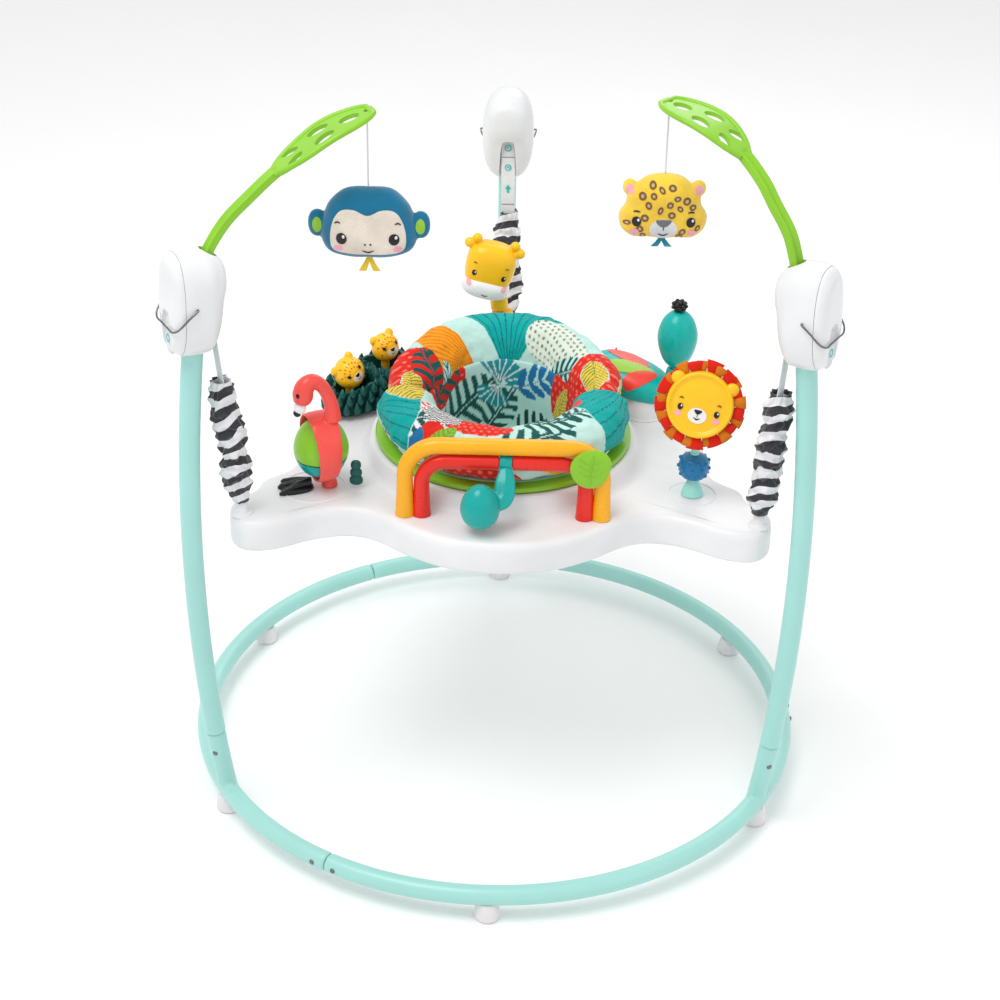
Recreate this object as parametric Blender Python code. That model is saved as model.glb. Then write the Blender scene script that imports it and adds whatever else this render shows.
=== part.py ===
"""Activity jumper: a round tube base with three bowed legs, a tray hung on three springs, and toys.

Metres, +Z up. The origin is on the floor, at the middle of the object's bounding box.
The three legs stand at the back and at the front left and front right of the base ring.
"""

from math import cos, degrees, pi, radians, sin, sqrt, tau

import bmesh
import bpy
from mathutils import Matrix, Vector

GAP = 0.0003

# Frame tubes
TUBE_RADIUS = 0.0127
BORE_RADIUS = 0.0117
SPIGOT_RADIUS = 0.0110
SPIGOT_BORE = 0.0098
SPIGOT_LENGTH = 0.025
TUBE_SIDES = 10
RING_RADIUS = 0.400
RING_HEIGHT = 0.034
STUB_TOP = 0.130
STUB_BEFORE_JOINT = 30
LEG_REACH = 0.4255
LEG_BOW_HEIGHT = 0.385
LEG_BOW = 0.215
LEG_TOP = 0.700
SIDES = {"back": 90, "left": 210, "right": 330}
FOOT_RADIUS = 0.0165

# Towers, in their own frame: X outward, Y across, Z up with a slight lean inward
TOWER_Z = 0.728
TOWER_RADIUS = 0.4065
TOWER_LEAN = radians(2)
TOWER_WALL = 0.0026
COVER_START = 0.018
CLIP_WIRE = 0.0012
CLIP_HALF_WIDTH = 0.0387
CLIP_REACH = 0.0322

# The front foot and the back tower's clip set the box's depth, so its middle is a little behind the ring's.
BACK_REACH = TOWER_RADIUS + (CLIP_REACH + CLIP_WIRE) * cos(TOWER_LEAN) + 0.023 * sin(TOWER_LEAN)
CENTRE_Y = (BACK_REACH - RING_RADIUS - FOOT_RADIUS) / 2

# Suspension: the strap, spring and cover share one sloping line, X = HANG_FOOT + HANG_SLOPE * (z - HANG_Z)
HANG_FOOT = 0.3637
HANG_Z = 0.455
HANG_SLOPE = 0.085
STRAP_TOP = 0.736
STRAP_BOTTOM = 0.6135
SPRING_TOP = 0.6120
SPRING_BOTTOM = 0.4720
SPRING_RADIUS = 0.0085
COVER_TOP = 0.623
COVER_BOTTOM = 0.4580

# Tray and seat
DECK_Z = 0.440
SKIRT_Z = 0.400
HUNG_X = 0.0045
TRAY_WALL = 0.003
SEAT_HOLE = 0.1585
COLLAR_TOP = 0.4640
COLLAR_RADIUS = 0.1715
COLLAR_FOOT = 0.1810
RING_FLANGE = 0.1670
PAD_OUTER = 0.1560
PAD_INNER = 0.0900

# Half of the tray's edge, as degrees from the front and radius. The other half mirrors it.
TRAY_EDGE = [
    (0, 0.2475), (14, 0.2455), (28, 0.2375), (40, 0.2330), (48, 0.2480),
    (52.3, 0.2870), (53.6, 0.3400), (56.5, 0.3720), (61, 0.3770), (66, 0.3630),
    (68.8, 0.3310), (72.7, 0.3160), (75, 0.2920), (77.5, 0.2760), (84, 0.2630), (100, 0.2660), (119, 0.2730),
    (134, 0.2710), (150, 0.2700), (161, 0.2750), (168, 0.3050), (172.5, 0.3600), (176, 0.3735), (180, 0.3750),
]

# Arch over the front of the tray
ARCH_Y = -0.174
ARCH_X = 0.009
YELLOW_HALF = 0.1155
YELLOW_TOP = 0.5350
YELLOW_RADIUS = 0.0103
RED_HALF = 0.0940
RED_TOP = 0.5142
RED_RADIUS = 0.0098
GROOVE_RADIUS = 0.0062
PADDLE_X = 0.010

# Toys that turn
LION_POST = (0.2430, -0.108)
LION_HEAD = (0.2430, -0.126, 0.5740)
LION_FACING = (-0.15, -1.0, 0.33)
FLAMINGO = (-0.2195, -0.110, 0.4965)
BUSH = (-0.1806, 0.1291, 0.440)
BUSH_TURN = radians(50)
GIRAFFE = (-0.0020, 0.240)
GIRAFFE_NOD_Z = 0.5370
BIRD = (0.2320, 0.120, 0.5560)
BIRD_NECK_Z = 0.5130

# Arms and hanging toys. Each arm lies in an upright plane: its side, the plane's heading, and its curve's
# distance along the heading and height, from inside the tower to the leaf's tip.
ARM_FOOT = 0.3865
ARMS = {
    "left": (radians(23.3), [
        (-0.006, 0.768), (0.0, 0.779), (0.011, 0.798), (0.029, 0.821), (0.056, 0.8445), (0.0825, 0.866),
        (0.116, 0.889), (0.152, 0.9105), (0.204, 0.929),
    ]),
    "right": (radians(138.1), [
        (-0.006, 0.768), (0.0, 0.780), (0.015, 0.817), (0.039, 0.8465), (0.059, 0.8705), (0.0925, 0.897),
        (0.137, 0.919), (0.204, 0.929),
    ]),
}
STRING_AT = 0.196
STRING_RADIUS = 0.0010
PLUSH = {"monkey": ("left", 0.838, 0.087, 0.141), "leopard": ("right", 0.843, 0.084, 0.1045)}

PAINT = {
    "mint": ((0.38, 0.76, 0.70), 0.35, 0.0),
    "white": ((0.87, 0.88, 0.89), 0.35, 0.0),
    "clear_white": ((0.90, 0.92, 0.93), 0.25, 0.0),
    "steel": ((0.62, 0.63, 0.65), 0.25, 1.0),
    "webbing": ((0.88, 0.89, 0.90), 0.85, 0.0),
    "zebra": ((0.80, 0.80, 0.82), 0.90, 0.0),
    "lime": ((0.31, 0.60, 0.06), 0.40, 0.0),
    "fabric": ((0.35, 0.72, 0.68), 0.90, 0.0),
    "coral": ((0.90, 0.12, 0.10), 0.35, 0.0),
    "black": ((0.02, 0.02, 0.02), 0.35, 0.0),
    "forest": ((0.01, 0.18, 0.15), 0.45, 0.0),
    "yellow": ((0.95, 0.55, 0.03), 0.35, 0.0),
    "teal": ((0.00, 0.48, 0.45), 0.30, 0.0),
    "blue": ((0.01, 0.15, 0.40), 0.40, 0.0),
    "red": ((0.85, 0.03, 0.02), 0.35, 0.0),
}


def clear_scene():
    for obj in list(bpy.data.objects):
        bpy.data.objects.remove(obj, do_unlink=True)


def material(name):
    found = bpy.data.materials.get(name)
    if found:
        return found
    colour, roughness, metallic = PAINT[name]
    made = bpy.data.materials.new(name)
    made.use_nodes = True
    shader = made.node_tree.nodes["Principled BSDF"]
    shader.inputs["Base Color"].default_value = (*colour, 1.0)
    shader.inputs["Roughness"].default_value = roughness
    shader.inputs["Metallic"].default_value = metallic
    return made


def empty(name, parent=None, location=(0, 0, 0), rotation=(0, 0, 0)):
    made = bpy.data.objects.new(name, None)
    bpy.context.scene.collection.objects.link(made)
    made.parent = parent
    made.location = location
    made.rotation_euler = rotation
    return made


def node(name, mesh, paint, parent, pivot=(0, 0, 0)):
    """An object with its origin at pivot. The mesh's points are given from the parent's origin."""
    made = bpy.data.objects.new(name, mesh)
    bpy.context.scene.collection.objects.link(made)
    made.parent = parent
    made.location = pivot
    if tuple(pivot) != (0, 0, 0):
        mesh.transform(Matrix.Translation(-Vector(pivot)))
    if not mesh.materials:
        mesh.materials.append(material(paint))
    mesh.shade_smooth()
    mesh.set_sharp_from_angle(angle=radians(40))
    return made


def finish(bm, name):
    bmesh.ops.recalc_face_normals(bm, faces=bm.faces)
    mesh = bpy.data.meshes.new(name)
    bm.to_mesh(mesh)
    bm.free()
    return mesh


def loft(name, rings, closed_end=True, looped=False):
    """A skin over rings of points. Each ring is a closed outline with the same number of points."""
    bm = bmesh.new()
    rows = [[bm.verts.new(point) for point in ring] for ring in rings]
    count = len(rows[0])
    pairs = list(zip(rows, rows[1:]))
    if looped:
        pairs.append((rows[-1], rows[0]))
    for low, high in pairs:
        for i in range(count):
            j = (i + 1) % count
            bm.faces.new((low[i], low[j], high[j], high[i]))
    if closed_end and not looped:
        bm.faces.new(rows[0])
        bm.faces.new(rows[-1])
    return finish(bm, name)


def circle(centre, side, up, radius, count, start=0.0):
    centre, side, up = Vector(centre), Vector(side), Vector(up)
    turns = [start + tau * i / count for i in range(count)]
    return [centre + side * (radius * cos(t)) + up * (radius * sin(t)) for t in turns]


def frames(points):
    """A pair of cross directions for each point of a path, carried along it without twist."""
    points = [Vector(point) for point in points]
    last = len(points) - 1
    side = None
    found = []
    for i, point in enumerate(points):
        ahead = points[min(i + 1, last)] - points[max(i - 1, 0)]
        ahead.normalize()
        if side is None:
            side = Vector((0, 1, 0)) if abs(ahead.y) < 0.9 else Vector((1, 0, 0))
        side = (side - ahead * side.dot(ahead)).normalized()
        found.append((point, side, ahead.cross(side)))
    return found


def rod(name, points, radii, count=8, start=0.0, along=frames):
    """A solid round bar along points, with one radius for each point."""
    rings = [circle(p, side, up, r, count, start) for (p, side, up), r in zip(along(points), radii)]
    return loft(name, rings)


def pipe(name, points, outer, inner, count=TUBE_SIDES, start=0.0, along=frames):
    """An open-ended round tube along points, with a radius of its wall's two faces for each point."""
    placed = along(points)
    rings = [circle(p, side, up, r, count, start) for (p, side, up), r in zip(placed, outer)]
    bores = [circle(p, side, up, r, count, start) for (p, side, up), r in zip(placed, inner)]
    return loft(name, rings + bores[::-1], looped=True)


def lathe(name, profile, count, centre=(0, 0, 0)):
    """A ring turned about a vertical line through centre. The profile is a closed outline of (radius, height)."""
    cx, cy, cz = centre
    rings = []
    for i in range(count):
        t = tau * i / count
        rings.append([(cx + r * cos(t), cy + r * sin(t), cz + z) for r, z in profile])
    return loft(name, rings, looped=True)


def turned(name, profile, count, centre=(0, 0, 0), axis=(0, 0, 1)):
    """A solid turned about axis. The profile runs from end to end as (radius, distance along the axis)."""
    axis = Vector(axis).normalized()
    side = axis.orthogonal().normalized()
    if abs(axis.z) > 0.99:
        side = Vector((1, 0, 0))
    up = axis.cross(side)
    centre = Vector(centre)
    rings = [circle(centre + axis * d, side, up, r, count) for r, d in profile]
    return loft(name, rings)


def egg(name, centre, half, count=10, rows=6, turn=None):
    """An ellipsoid with half sizes (x, y, z), turned by a matrix about its centre."""
    bm = bmesh.new()
    bmesh.ops.create_uvsphere(bm, u_segments=count, v_segments=rows, radius=1.0)
    place = Matrix.Translation(centre) @ (turn or Matrix.Identity(4)) @ Matrix.Diagonal((*half, 1))
    bmesh.ops.transform(bm, matrix=place, verts=bm.verts)
    return finish(bm, name)


def block(name, low, high):
    bm = bmesh.new()
    bmesh.ops.create_cube(bm, size=1.0)
    size = Vector(high) - Vector(low)
    middle = (Vector(high) + Vector(low)) / 2
    place = Matrix.Translation(middle) @ Matrix.Diagonal((*size, 1))
    bmesh.ops.transform(bm, matrix=place, verts=bm.verts)
    return finish(bm, name)


def combine(name, base, others, operation):
    """The mesh left by a Boolean of base with each of the others in turn."""
    scene = bpy.context.scene.collection.objects
    body = bpy.data.objects.new(name + "_work", base)
    scene.link(body)
    tools = []
    for i, other in enumerate(others):
        tool = bpy.data.objects.new(f"{name}_tool{i}", other)
        scene.link(tool)
        tools.append(tool)
        step = body.modifiers.new(f"step{i}", "BOOLEAN")
        step.operation = operation
        step.solver = "EXACT"
        step.object = tool
    bpy.context.view_layer.update()
    graph = bpy.context.evaluated_depsgraph_get()
    mesh = bpy.data.meshes.new_from_object(body.evaluated_get(graph))
    mesh.name = name
    for tool in tools:
        bpy.data.objects.remove(tool)
    bpy.data.objects.remove(body)
    return mesh


def join(name, *parts):
    return combine(name, parts[0], parts[1:], "UNION")


def cut(name, base, *tools):
    return combine(name, base, tools, "DIFFERENCE")


def leg_point(z):
    return Vector((LEG_REACH - LEG_BOW * (z - LEG_BOW_HEIGHT) ** 2, 0, z))


def ring_point(degree):
    t = radians(degree)
    return Vector((RING_RADIUS * cos(t), RING_RADIUS * sin(t), RING_HEIGHT))


def ring_frames(angles):
    """Where the base ring is at each angle, with the radial and upright directions there."""
    up = Vector((0, 0, 1))
    return [(ring_point(a), Vector((cos(radians(a)), sin(radians(a)), 0)), up) for a in angles]


def leg_frames(heights):
    """Where the leg is at each height, with the two directions square to it."""
    side = Vector((0, 1, 0))
    found = []
    for z in heights:
        ahead = Vector((-2 * LEG_BOW * (z - LEG_BOW_HEIGHT), 0, 1)).normalized()
        found.append((leg_point(z), side, ahead.cross(side)))
    return found


def hang_point(z):
    return Vector((HANG_FOOT + HANG_SLOPE * (z - HANG_Z), 0, z))


def smooth_path(points, count):
    """Points on a Catmull-Rom curve through a few chosen ones."""
    points = [Vector(point) for point in points]
    ends = [points[0] * 2 - points[1], *points, points[-1] * 2 - points[-2]]
    made = []
    for i in range(count + 1):
        at = (len(points) - 1) * i / count
        k = min(int(at), len(points) - 2)
        t = at - k
        a, b, c, d = ends[k : k + 4]
        made.append(
            (b * 2 + (c - a) * t + (a * 2 - b * 5 + c * 4 - d) * t**2 + (b * 3 - a - c * 3 + d) * t**3) / 2
        )
    return made


def base_tubes(root):
    """Three 120 degree arcs. Each ends in a spigot that enters the next, and carries the stub of one leg."""
    gap = degrees(GAP / RING_RADIUS)
    spigot = degrees(SPIGOT_LENGTH / RING_RADIUS)
    stub = [RING_HEIGHT + 0.004, 0.085, STUB_TOP, STUB_TOP, STUB_TOP + SPIGOT_LENGTH]
    stub_radii = [TUBE_RADIUS - 0.0006] + [TUBE_RADIUS] * 2 + [SPIGOT_RADIUS] * 2
    bore_heights = [RING_HEIGHT, 0.085, STUB_TOP + SPIGOT_LENGTH + 0.01]
    for side, azimuth in SIDES.items():
        last = azimuth + STUB_BEFORE_JOINT
        first = last - 120
        arc = [first + gap, first + spigot] + [first + 10 * i for i in range(1, 12)]
        arc += [last, last, last + spigot]
        outer = [TUBE_RADIUS] * 14 + [SPIGOT_RADIUS] * 2
        inner = [BORE_RADIUS] * 13 + [SPIGOT_BORE] * 3
        bored = [first - 1] + arc[1:-1] + [last + spigot + 1]
        turn = Matrix.Rotation(radians(azimuth), 4, "Z")
        upright = rod("stub", stub, stub_radii, TUBE_SIDES, pi / 2, leg_frames)
        bore = rod("bore", bore_heights, [SPIGOT_BORE] * 3, 8, 0.0, leg_frames)
        upright.transform(turn)
        bore.transform(turn)
        ring = join("ring", rod("ring", arc, outer, TUBE_SIDES, 0.0, ring_frames), upright)
        arc_bore = rod("arc_bore", bored, inner, TUBE_SIDES, 0.0, ring_frames)
        node(f"base_tube_{side}", cut("base_tube", ring, arc_bore, bore), "mint", root)


def feet(root):
    profile = [(FOOT_RADIUS - 0.003, 0), (FOOT_RADIUS, 0.003), (FOOT_RADIUS - 0.001, 0.012)]
    profile.append((0.0120, RING_HEIGHT - TUBE_RADIUS - GAP))
    for i in range(6):
        t = radians(30 + 60 * i)
        place = (RING_RADIUS * cos(t), RING_RADIUS * sin(t), 0)
        node(f"foot_{i + 1}", turned("foot", profile, 12), "clear_white", empty(f"foot_place_{i + 1}", root, place))


def leg_mesh():
    heights = [STUB_TOP + GAP, 0.21, 0.30, LEG_BOW_HEIGHT, 0.47, 0.55, 0.63, LEG_TOP]
    outer = [TUBE_RADIUS] * len(heights)
    inner = [BORE_RADIUS] * len(heights)
    return pipe("leg", heights, outer, inner, TUBE_SIDES, pi / 2, leg_frames)


def stadium(x, half_width, top, bottom, count=14, power=2.5):
    """An upright oval in the plane at x."""
    middle, half = (top + bottom) / 2, (top - bottom) / 2
    ring = []
    for i in range(count):
        t = tau * i / count
        y = half_width * abs(cos(t)) ** (2 / power) * (1 if cos(t) >= 0 else -1)
        z = half * abs(sin(t)) ** (2 / power) * (1 if sin(t) >= 0 else -1)
        ring.append((x, y, middle + z))
    return ring


def housing_mesh(side):
    """The main shell: a tall oval shell, open to the outside, with a bulge towards the tray at its top."""
    layers = [
        (COVER_START, 0.0345, 0.0625, -0.0615),
        (0.000, 0.0365, 0.0640, -0.0630),
        (-0.015, 0.0352, 0.0630, -0.0615),
        (-0.0260, 0.0310, 0.0585, -0.0540),
        (-0.0325, 0.0255, 0.0515, -0.0040),
        (-0.0385, 0.0150, 0.0430, 0.0100),
    ]
    outer = [stadium(*layer) for layer in layers]
    wall = TOWER_WALL
    inner = [stadium(x, w - wall, top - wall, low + wall) for x, w, top, low in layers[:-1]]
    inner.append(stadium(-0.0357, 0.0120, 0.0400, 0.0130))
    shell = loft("housing", outer[::-1] + inner)
    into_tower = Matrix.Translation((TOWER_RADIUS, 0, TOWER_Z)) @ Matrix.Rotation(-TOWER_LEAN, 4, "Y")
    into_tower.invert()
    leg_hole = rod("hole", [0.645, 0.672, 0.690], [TUBE_RADIUS + 0.0015] * 3, 12, 0.0, leg_frames)
    leg_hole.transform(into_tower)
    slot = block("slot", (-0.0345, -0.0115, -0.080), (-0.0170, 0.0115, 0.0010))
    tools = [leg_hole, slot]
    if side in ARMS:
        heading, curve = ARMS[side]
        path = [arm_foot(side) + Vector((s * cos(heading), s * sin(heading), z)) for s, z in curve[:3]]
        path.insert(0, path[0] * 2 - path[1])
        socket = rod("socket", path, [0.0120] * 4, 8)
        socket.transform(into_tower @ Matrix.Rotation(-radians(SIDES[side]), 4, "Z"))
        tools.append(socket)
    return cut("housing", shell, *tools)


def cover_mesh():
    start = COVER_START + GAP
    outer = [stadium(start, 0.0335, 0.0605, -0.0600), stadium(0.0250, 0.0305, 0.0570, -0.0565)]
    outer.append(stadium(0.0300, 0.0215, 0.0480, -0.0480))
    inner = [stadium(0.0275, 0.0190, 0.0445, -0.0445), stadium(start, 0.0310, 0.0580, -0.0575)]
    return loft("cover", outer[::-1] + inner[::-1])


def clip_mesh():
    """A wire bail: two arms beside the shell and a cross bar behind the cover."""
    w = CLIP_HALF_WIDTH
    points = [(0.006, -w, 0.004), (0.022, -w, -0.010), (CLIP_REACH - 0.0015, -w + 0.004, -0.020)]
    points += [(CLIP_REACH, -w + 0.014, -0.023), (CLIP_REACH, w - 0.014, -0.023)]
    points += [(CLIP_REACH - 0.0015, w - 0.004, -0.020), (0.022, w, -0.010), (0.006, w, 0.004)]
    return rod("clip", points, [CLIP_WIRE] * len(points), 6)


def strap_mesh():
    half_width, half_thick = 0.0095, 0.0007
    rings = []
    for z in (STRAP_BOTTOM, 0.665, STRAP_TOP):
        p = hang_point(z)
        corners = [(-half_thick, -half_width), (half_thick, -half_width)]
        corners += [(half_thick, half_width), (-half_thick, half_width)]
        rings.append([(p.x + a, b, z) for a, b in corners])
    return loft("strap", rings)


def spring_mesh():
    """A coil of round wire about the sloping hang line, with 6 turns."""
    turns, per_turn = 6, 7
    points = []
    for i in range(turns * per_turn + 1):
        t = tau * i / per_turn
        p = hang_point(SPRING_BOTTOM + (SPRING_TOP - SPRING_BOTTOM) * i / (turns * per_turn))
        points.append(p + Vector((SPRING_RADIUS * cos(t), SPRING_RADIUS * sin(t), 0)))
    return rod("spring", points, [0.0012] * len(points), 3)


def spring_cover_mesh():
    steps = [(0.0, 0.0128), (0.10, 0.0172), (0.5, 0.0185), (0.90, 0.0172), (1.0, 0.0128)]
    points = [hang_point(COVER_BOTTOM + (COVER_TOP - COVER_BOTTOM) * at) for at, _ in steps]
    outer = [radius for _, radius in steps]
    inner = [radius - 0.0015 for radius in outer]
    return pipe("spring_cover", points, outer, inner, 12)


def slanted(mesh, azimuth):
    """A hung piece, sheared so that its foot is HUNG_X to one side like the tray. The result is in the same frame."""
    turn = Matrix.Rotation(radians(azimuth), 4, "Z")
    slant = Matrix.Identity(4)
    slant[0][2] = -HUNG_X / (STRAP_TOP - HANG_Z)
    slant[0][3] = -slant[0][2] * STRAP_TOP
    made = mesh.copy()
    made.transform(turn.inverted() @ slant @ turn)
    return made


def side_pieces(root):
    """What the three sides share: leg, tower, clip, strap, spring and its cover."""
    made = {
        "leg_tube": (leg_mesh(), "mint"),
        "strap": (strap_mesh(), "webbing"),
        "spring": (spring_mesh(), "steel"),
        "spring_cover": (spring_cover_mesh(), "zebra"),
        "tower_cover": (cover_mesh(), "white"),
    }
    for side, azimuth in SIDES.items():
        place = empty(f"side_{side}", root, rotation=(0, 0, radians(azimuth)))
        tower = empty(f"tower_{side}", place, (TOWER_RADIUS, 0, TOWER_Z), (0, -TOWER_LEAN, 0))
        for name, (mesh, paint) in made.items():
            if name.startswith(("strap", "spring")):
                mesh = slanted(mesh, azimuth)
            node(f"{name}_{side}", mesh, paint, tower if name.startswith("tower") else place)
        node(f"tower_housing_{side}", housing_mesh(side), "white", tower)
        node(f"height_clip_{side}", clip_mesh(), "steel", tower, (0.006, 0, 0.004))


def arm_foot(side):
    azimuth = radians(SIDES[side])
    return Vector((ARM_FOOT * cos(azimuth), ARM_FOOT * sin(azimuth), 0))


def leaf_outline(at):
    """Half the leaf's width, with at from 0 at its neck to 1 at its tip."""
    at = min(1.0, at)
    return 0.0290 * sqrt(4 * at * (1 - at) ** 0.85)


def arm_mesh(side):
    """A stem that widens into a leaf with five oval windows. X runs along the arm, Z up."""
    path = smooth_path([(x, 0, z) for x, z in ARMS[side][1]], 20)
    neck, tip = 0.087, path[-1].x
    rings, blade = [], []
    for i, point in enumerate(path):
        ahead = (path[min(i + 1, 20)] - path[max(i - 1, 0)]).normalized()
        up = Vector((-ahead.z, 0, ahead.x))
        at = (point.x - neck) / (tip - neck)
        half_width, half_thick = 0.0080, 0.0055
        if at > 0:
            half_width, half_thick = max(0.0085, leaf_outline(at)), 0.0040
        if i == 20:
            half_width = 0.0060
        corners = [(-half_width, -half_thick), (half_width, -half_thick)]
        corners += [(half_width, half_thick), (-half_width, half_thick)]
        rings.append([point + Vector((0, a, 0)) + up * b for a, b in corners])
        blade.append((point, ahead, up))
    leaf = loft("arm", rings)
    tools = []
    for at, across, half_long, half_wide in (
        (0.20, 0.0105, 0.0105, 0.0055),
        (0.20, -0.0105, 0.0105, 0.0055),
        (0.49, 0.0125, 0.0120, 0.0075),
        (0.49, -0.0125, 0.0120, 0.0075),
        (0.76, 0.0, 0.0105, 0.0080),
    ):
        along = neck + (tip - neck) * at
        middle, ahead, up = min(blade, key=lambda step: abs(step[0].x - along))
        low = [
            middle + ahead * (half_long * cos(t)) + Vector((0, across + half_wide * sin(t), 0)) - up * 0.02
            for t in (tau * k / 10 for k in range(10))
        ]
        tools.append(loft("window", [low, [point + up * 0.04 for point in low]]))
    hole_z = string_hole_z(side)
    tools.append(rod("hole", [(STRING_AT, 0, hole_z - 0.02), (STRING_AT, 0, hole_z + 0.02)], [0.0038] * 2, 8))
    return cut("arm", leaf, *tools)


def string_hole_z(side):
    """Height of the leaf's middle where its string hangs."""
    (x0, z0), (x1, z1) = ARMS[side][1][-2:]
    return z0 + (z1 - z0) * (STRING_AT - x0) / (x1 - x0)


def string_top(side):
    heading = ARMS[side][0]
    reach = Vector((STRING_AT * cos(heading), STRING_AT * sin(heading), string_hole_z(side)))
    return arm_foot(side) + reach


def arms(root):
    for side, (heading, _) in ARMS.items():
        place = empty(f"arm_place_{side}", root, arm_foot(side), (0, 0, heading))
        node(f"leaf_arm_{side}", arm_mesh(side), "lime", place)


def plush_toys(root):
    """Two soft heads, each on a string that hangs from the hole in its leaf."""
    for name, (side, top, height, width) in PLUSH.items():
        at = string_top(side)
        pivot = tuple(at)
        centre = (at.x, at.y, top - height / 2)
        head = egg(name, centre, (width / 2, 0.024, height / 2), 14, 8)
        node(f"{name}_plush", head, "blue" if name == "monkey" else "yellow", root, pivot)
        route = bpy.data.curves.new(f"{name}_string", "CURVE")
        route.dimensions = "3D"
        route.bevel_depth = STRING_RADIUS
        route.bevel_resolution = 2
        route.use_fill_caps = True
        line = route.splines.new("POLY")
        steps = 12
        line.points.add(steps)
        for i in range(steps + 1):
            z = (at.z - top - GAP) * i / steps
            line.points[i].co = (0, 0, -z, 1)
        route.materials.append(material("webbing"))
        string = bpy.data.objects.new(f"{name}_string", route)
        bpy.context.scene.collection.objects.link(string)
        string.parent = root
        string.location = pivot


def tray_mesh():
    """A deck with a skirt, open below, three lobes for the springs and a raised collar round the seat hole."""
    outline = TRAY_EDGE + [(360 - a, r) for a, r in TRAY_EDGE[-2:0:-1]]
    count = len(outline)
    rings = []
    for i, (angle, radius) in enumerate(outline):
        t = radians(270 + angle)
        inner = radians(270 + 360 * i / count)
        edge = Vector((cos(t), sin(t), 0))
        hub = Vector((cos(inner), sin(inner), 0))
        w = TRAY_WALL
        ring = [
            hub * SEAT_HOLE + Vector((0, 0, 0.4520)),
            hub * SEAT_HOLE + Vector((0, 0, COLLAR_TOP)),
            hub * COLLAR_RADIUS + Vector((0, 0, COLLAR_TOP)),
            hub * COLLAR_FOOT + Vector((0, 0, DECK_Z)),
            edge * (radius - 0.008) + Vector((0, 0, DECK_Z)),
            edge * (radius - 0.001) + Vector((0, 0, DECK_Z - 0.006)),
            edge * radius + Vector((0, 0, SKIRT_Z)),
            edge * (radius - w) + Vector((0, 0, SKIRT_Z)),
            edge * (radius - w - 0.0015) + Vector((0, 0, DECK_Z - 0.007)),
            edge * (radius - 0.010) + Vector((0, 0, DECK_Z - w)),
            hub * (COLLAR_FOOT - w) + Vector((0, 0, DECK_Z - w)),
            hub * (COLLAR_RADIUS - w) + Vector((0, 0, 0.4520)),
        ]
        rings.append([point + Vector((HUNG_X, 0, 0)) for point in ring])
    tray = loft("tray", rings, looped=True)
    posts = []
    for azimuth in SIDES.values():
        foot = hang_point(0.46)
        post = turned("post", [(0.0075, 0.4385), (0.0060, 0.4600), (0.0035, 0.4690)], 8, (foot.x - 0.0005, 0, 0))
        post.transform(Matrix.Translation((HUNG_X, 0, 0)) @ Matrix.Rotation(radians(azimuth), 4, "Z"))
        posts.append(post)
    return join("tray", tray, *posts)


def seat(jumper):
    """The green ring that turns in the tray's hole, the padded collar on it and the hanging sling below."""
    root = empty("seat_place", jumper, (HUNG_X, 0, 0))
    hole = SEAT_HOLE - 0.0007
    under = 0.4520 - 0.0008
    ring = [
        (0.1460, 0.4440), (hole + 0.0060, 0.4440), (hole + 0.0060, under), (hole, under),
        (hole, COLLAR_TOP + 0.0007), (RING_FLANGE, COLLAR_TOP + 0.0007), (RING_FLANGE, 0.4700),
        (0.1640, 0.4715), (0.1460, 0.4715),
    ]
    node("seat_ring", lathe("seat_ring", ring, 28), "lime", root)
    count, rings = 24, []
    middle, reach = (PAD_OUTER + PAD_INNER) / 2, (PAD_OUTER - PAD_INNER) / 2
    floor = 0.4715 + GAP
    for i in range(count):
        t = tau * i / count
        top = 0.5310 + 0.0390 * (0.5 + 0.5 * sin(t)) ** 3
        half = (top - floor) / 2
        rings.append([
            (
                (middle + reach * cos(a)) * cos(t),
                (middle + reach * cos(a)) * sin(t),
                floor + half + half * max(-1.0, 1.15 * sin(a)) if sin(a) < 0 else floor + half + half * sin(a),
            )
            for a in (tau * k / 8 for k in range(8))
        ])
    node("seat_pad", loft("seat_pad", rings, looped=True), "fabric", root)
    node("seat_sling", sling_mesh(), "fabric", root)


def sling_mesh():
    """A cloth bucket with two leg holes, hanging inside the ring."""
    outer = [(0.1440, 0.4700), (0.1250, 0.4500), (0.1130, 0.4000), (0.0950, 0.3400), (0.0600, 0.3100)]
    wall = 0.0035
    inner = [(0.0580, 0.3100 + wall), (0.0950 - wall, 0.3415), (0.1130 - wall, 0.4000)]
    inner += [(0.1250 - wall, 0.4500), (0.1440 - wall - 0.001, 0.4700)]
    profile = outer[::-1] + inner[::-1]
    bucket = loft("sling", [circle((0, 0, z), (1, 0, 0), (0, 1, 0), r, 20) for r, z in profile])
    holes = []
    for x in (-0.052, 0.052):
        path = [(x, -0.030, 0.355), (x * 1.5, -0.160, 0.320)]
        holes.append(rod("leg_hole", path, [0.034, 0.038], 12))
    return cut("sling", bucket, *holes)


def arch_path(half, top, radius):
    points = [(ARCH_X - half, ARCH_Y, DECK_Z + GAP), (ARCH_X - half, ARCH_Y, top - radius)]
    for i in range(1, 5):
        t = pi / 2 * i / 4
        points.append((ARCH_X - half + radius * (1 - cos(t)), ARCH_Y, top - radius + radius * sin(t)))
    return points


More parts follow.
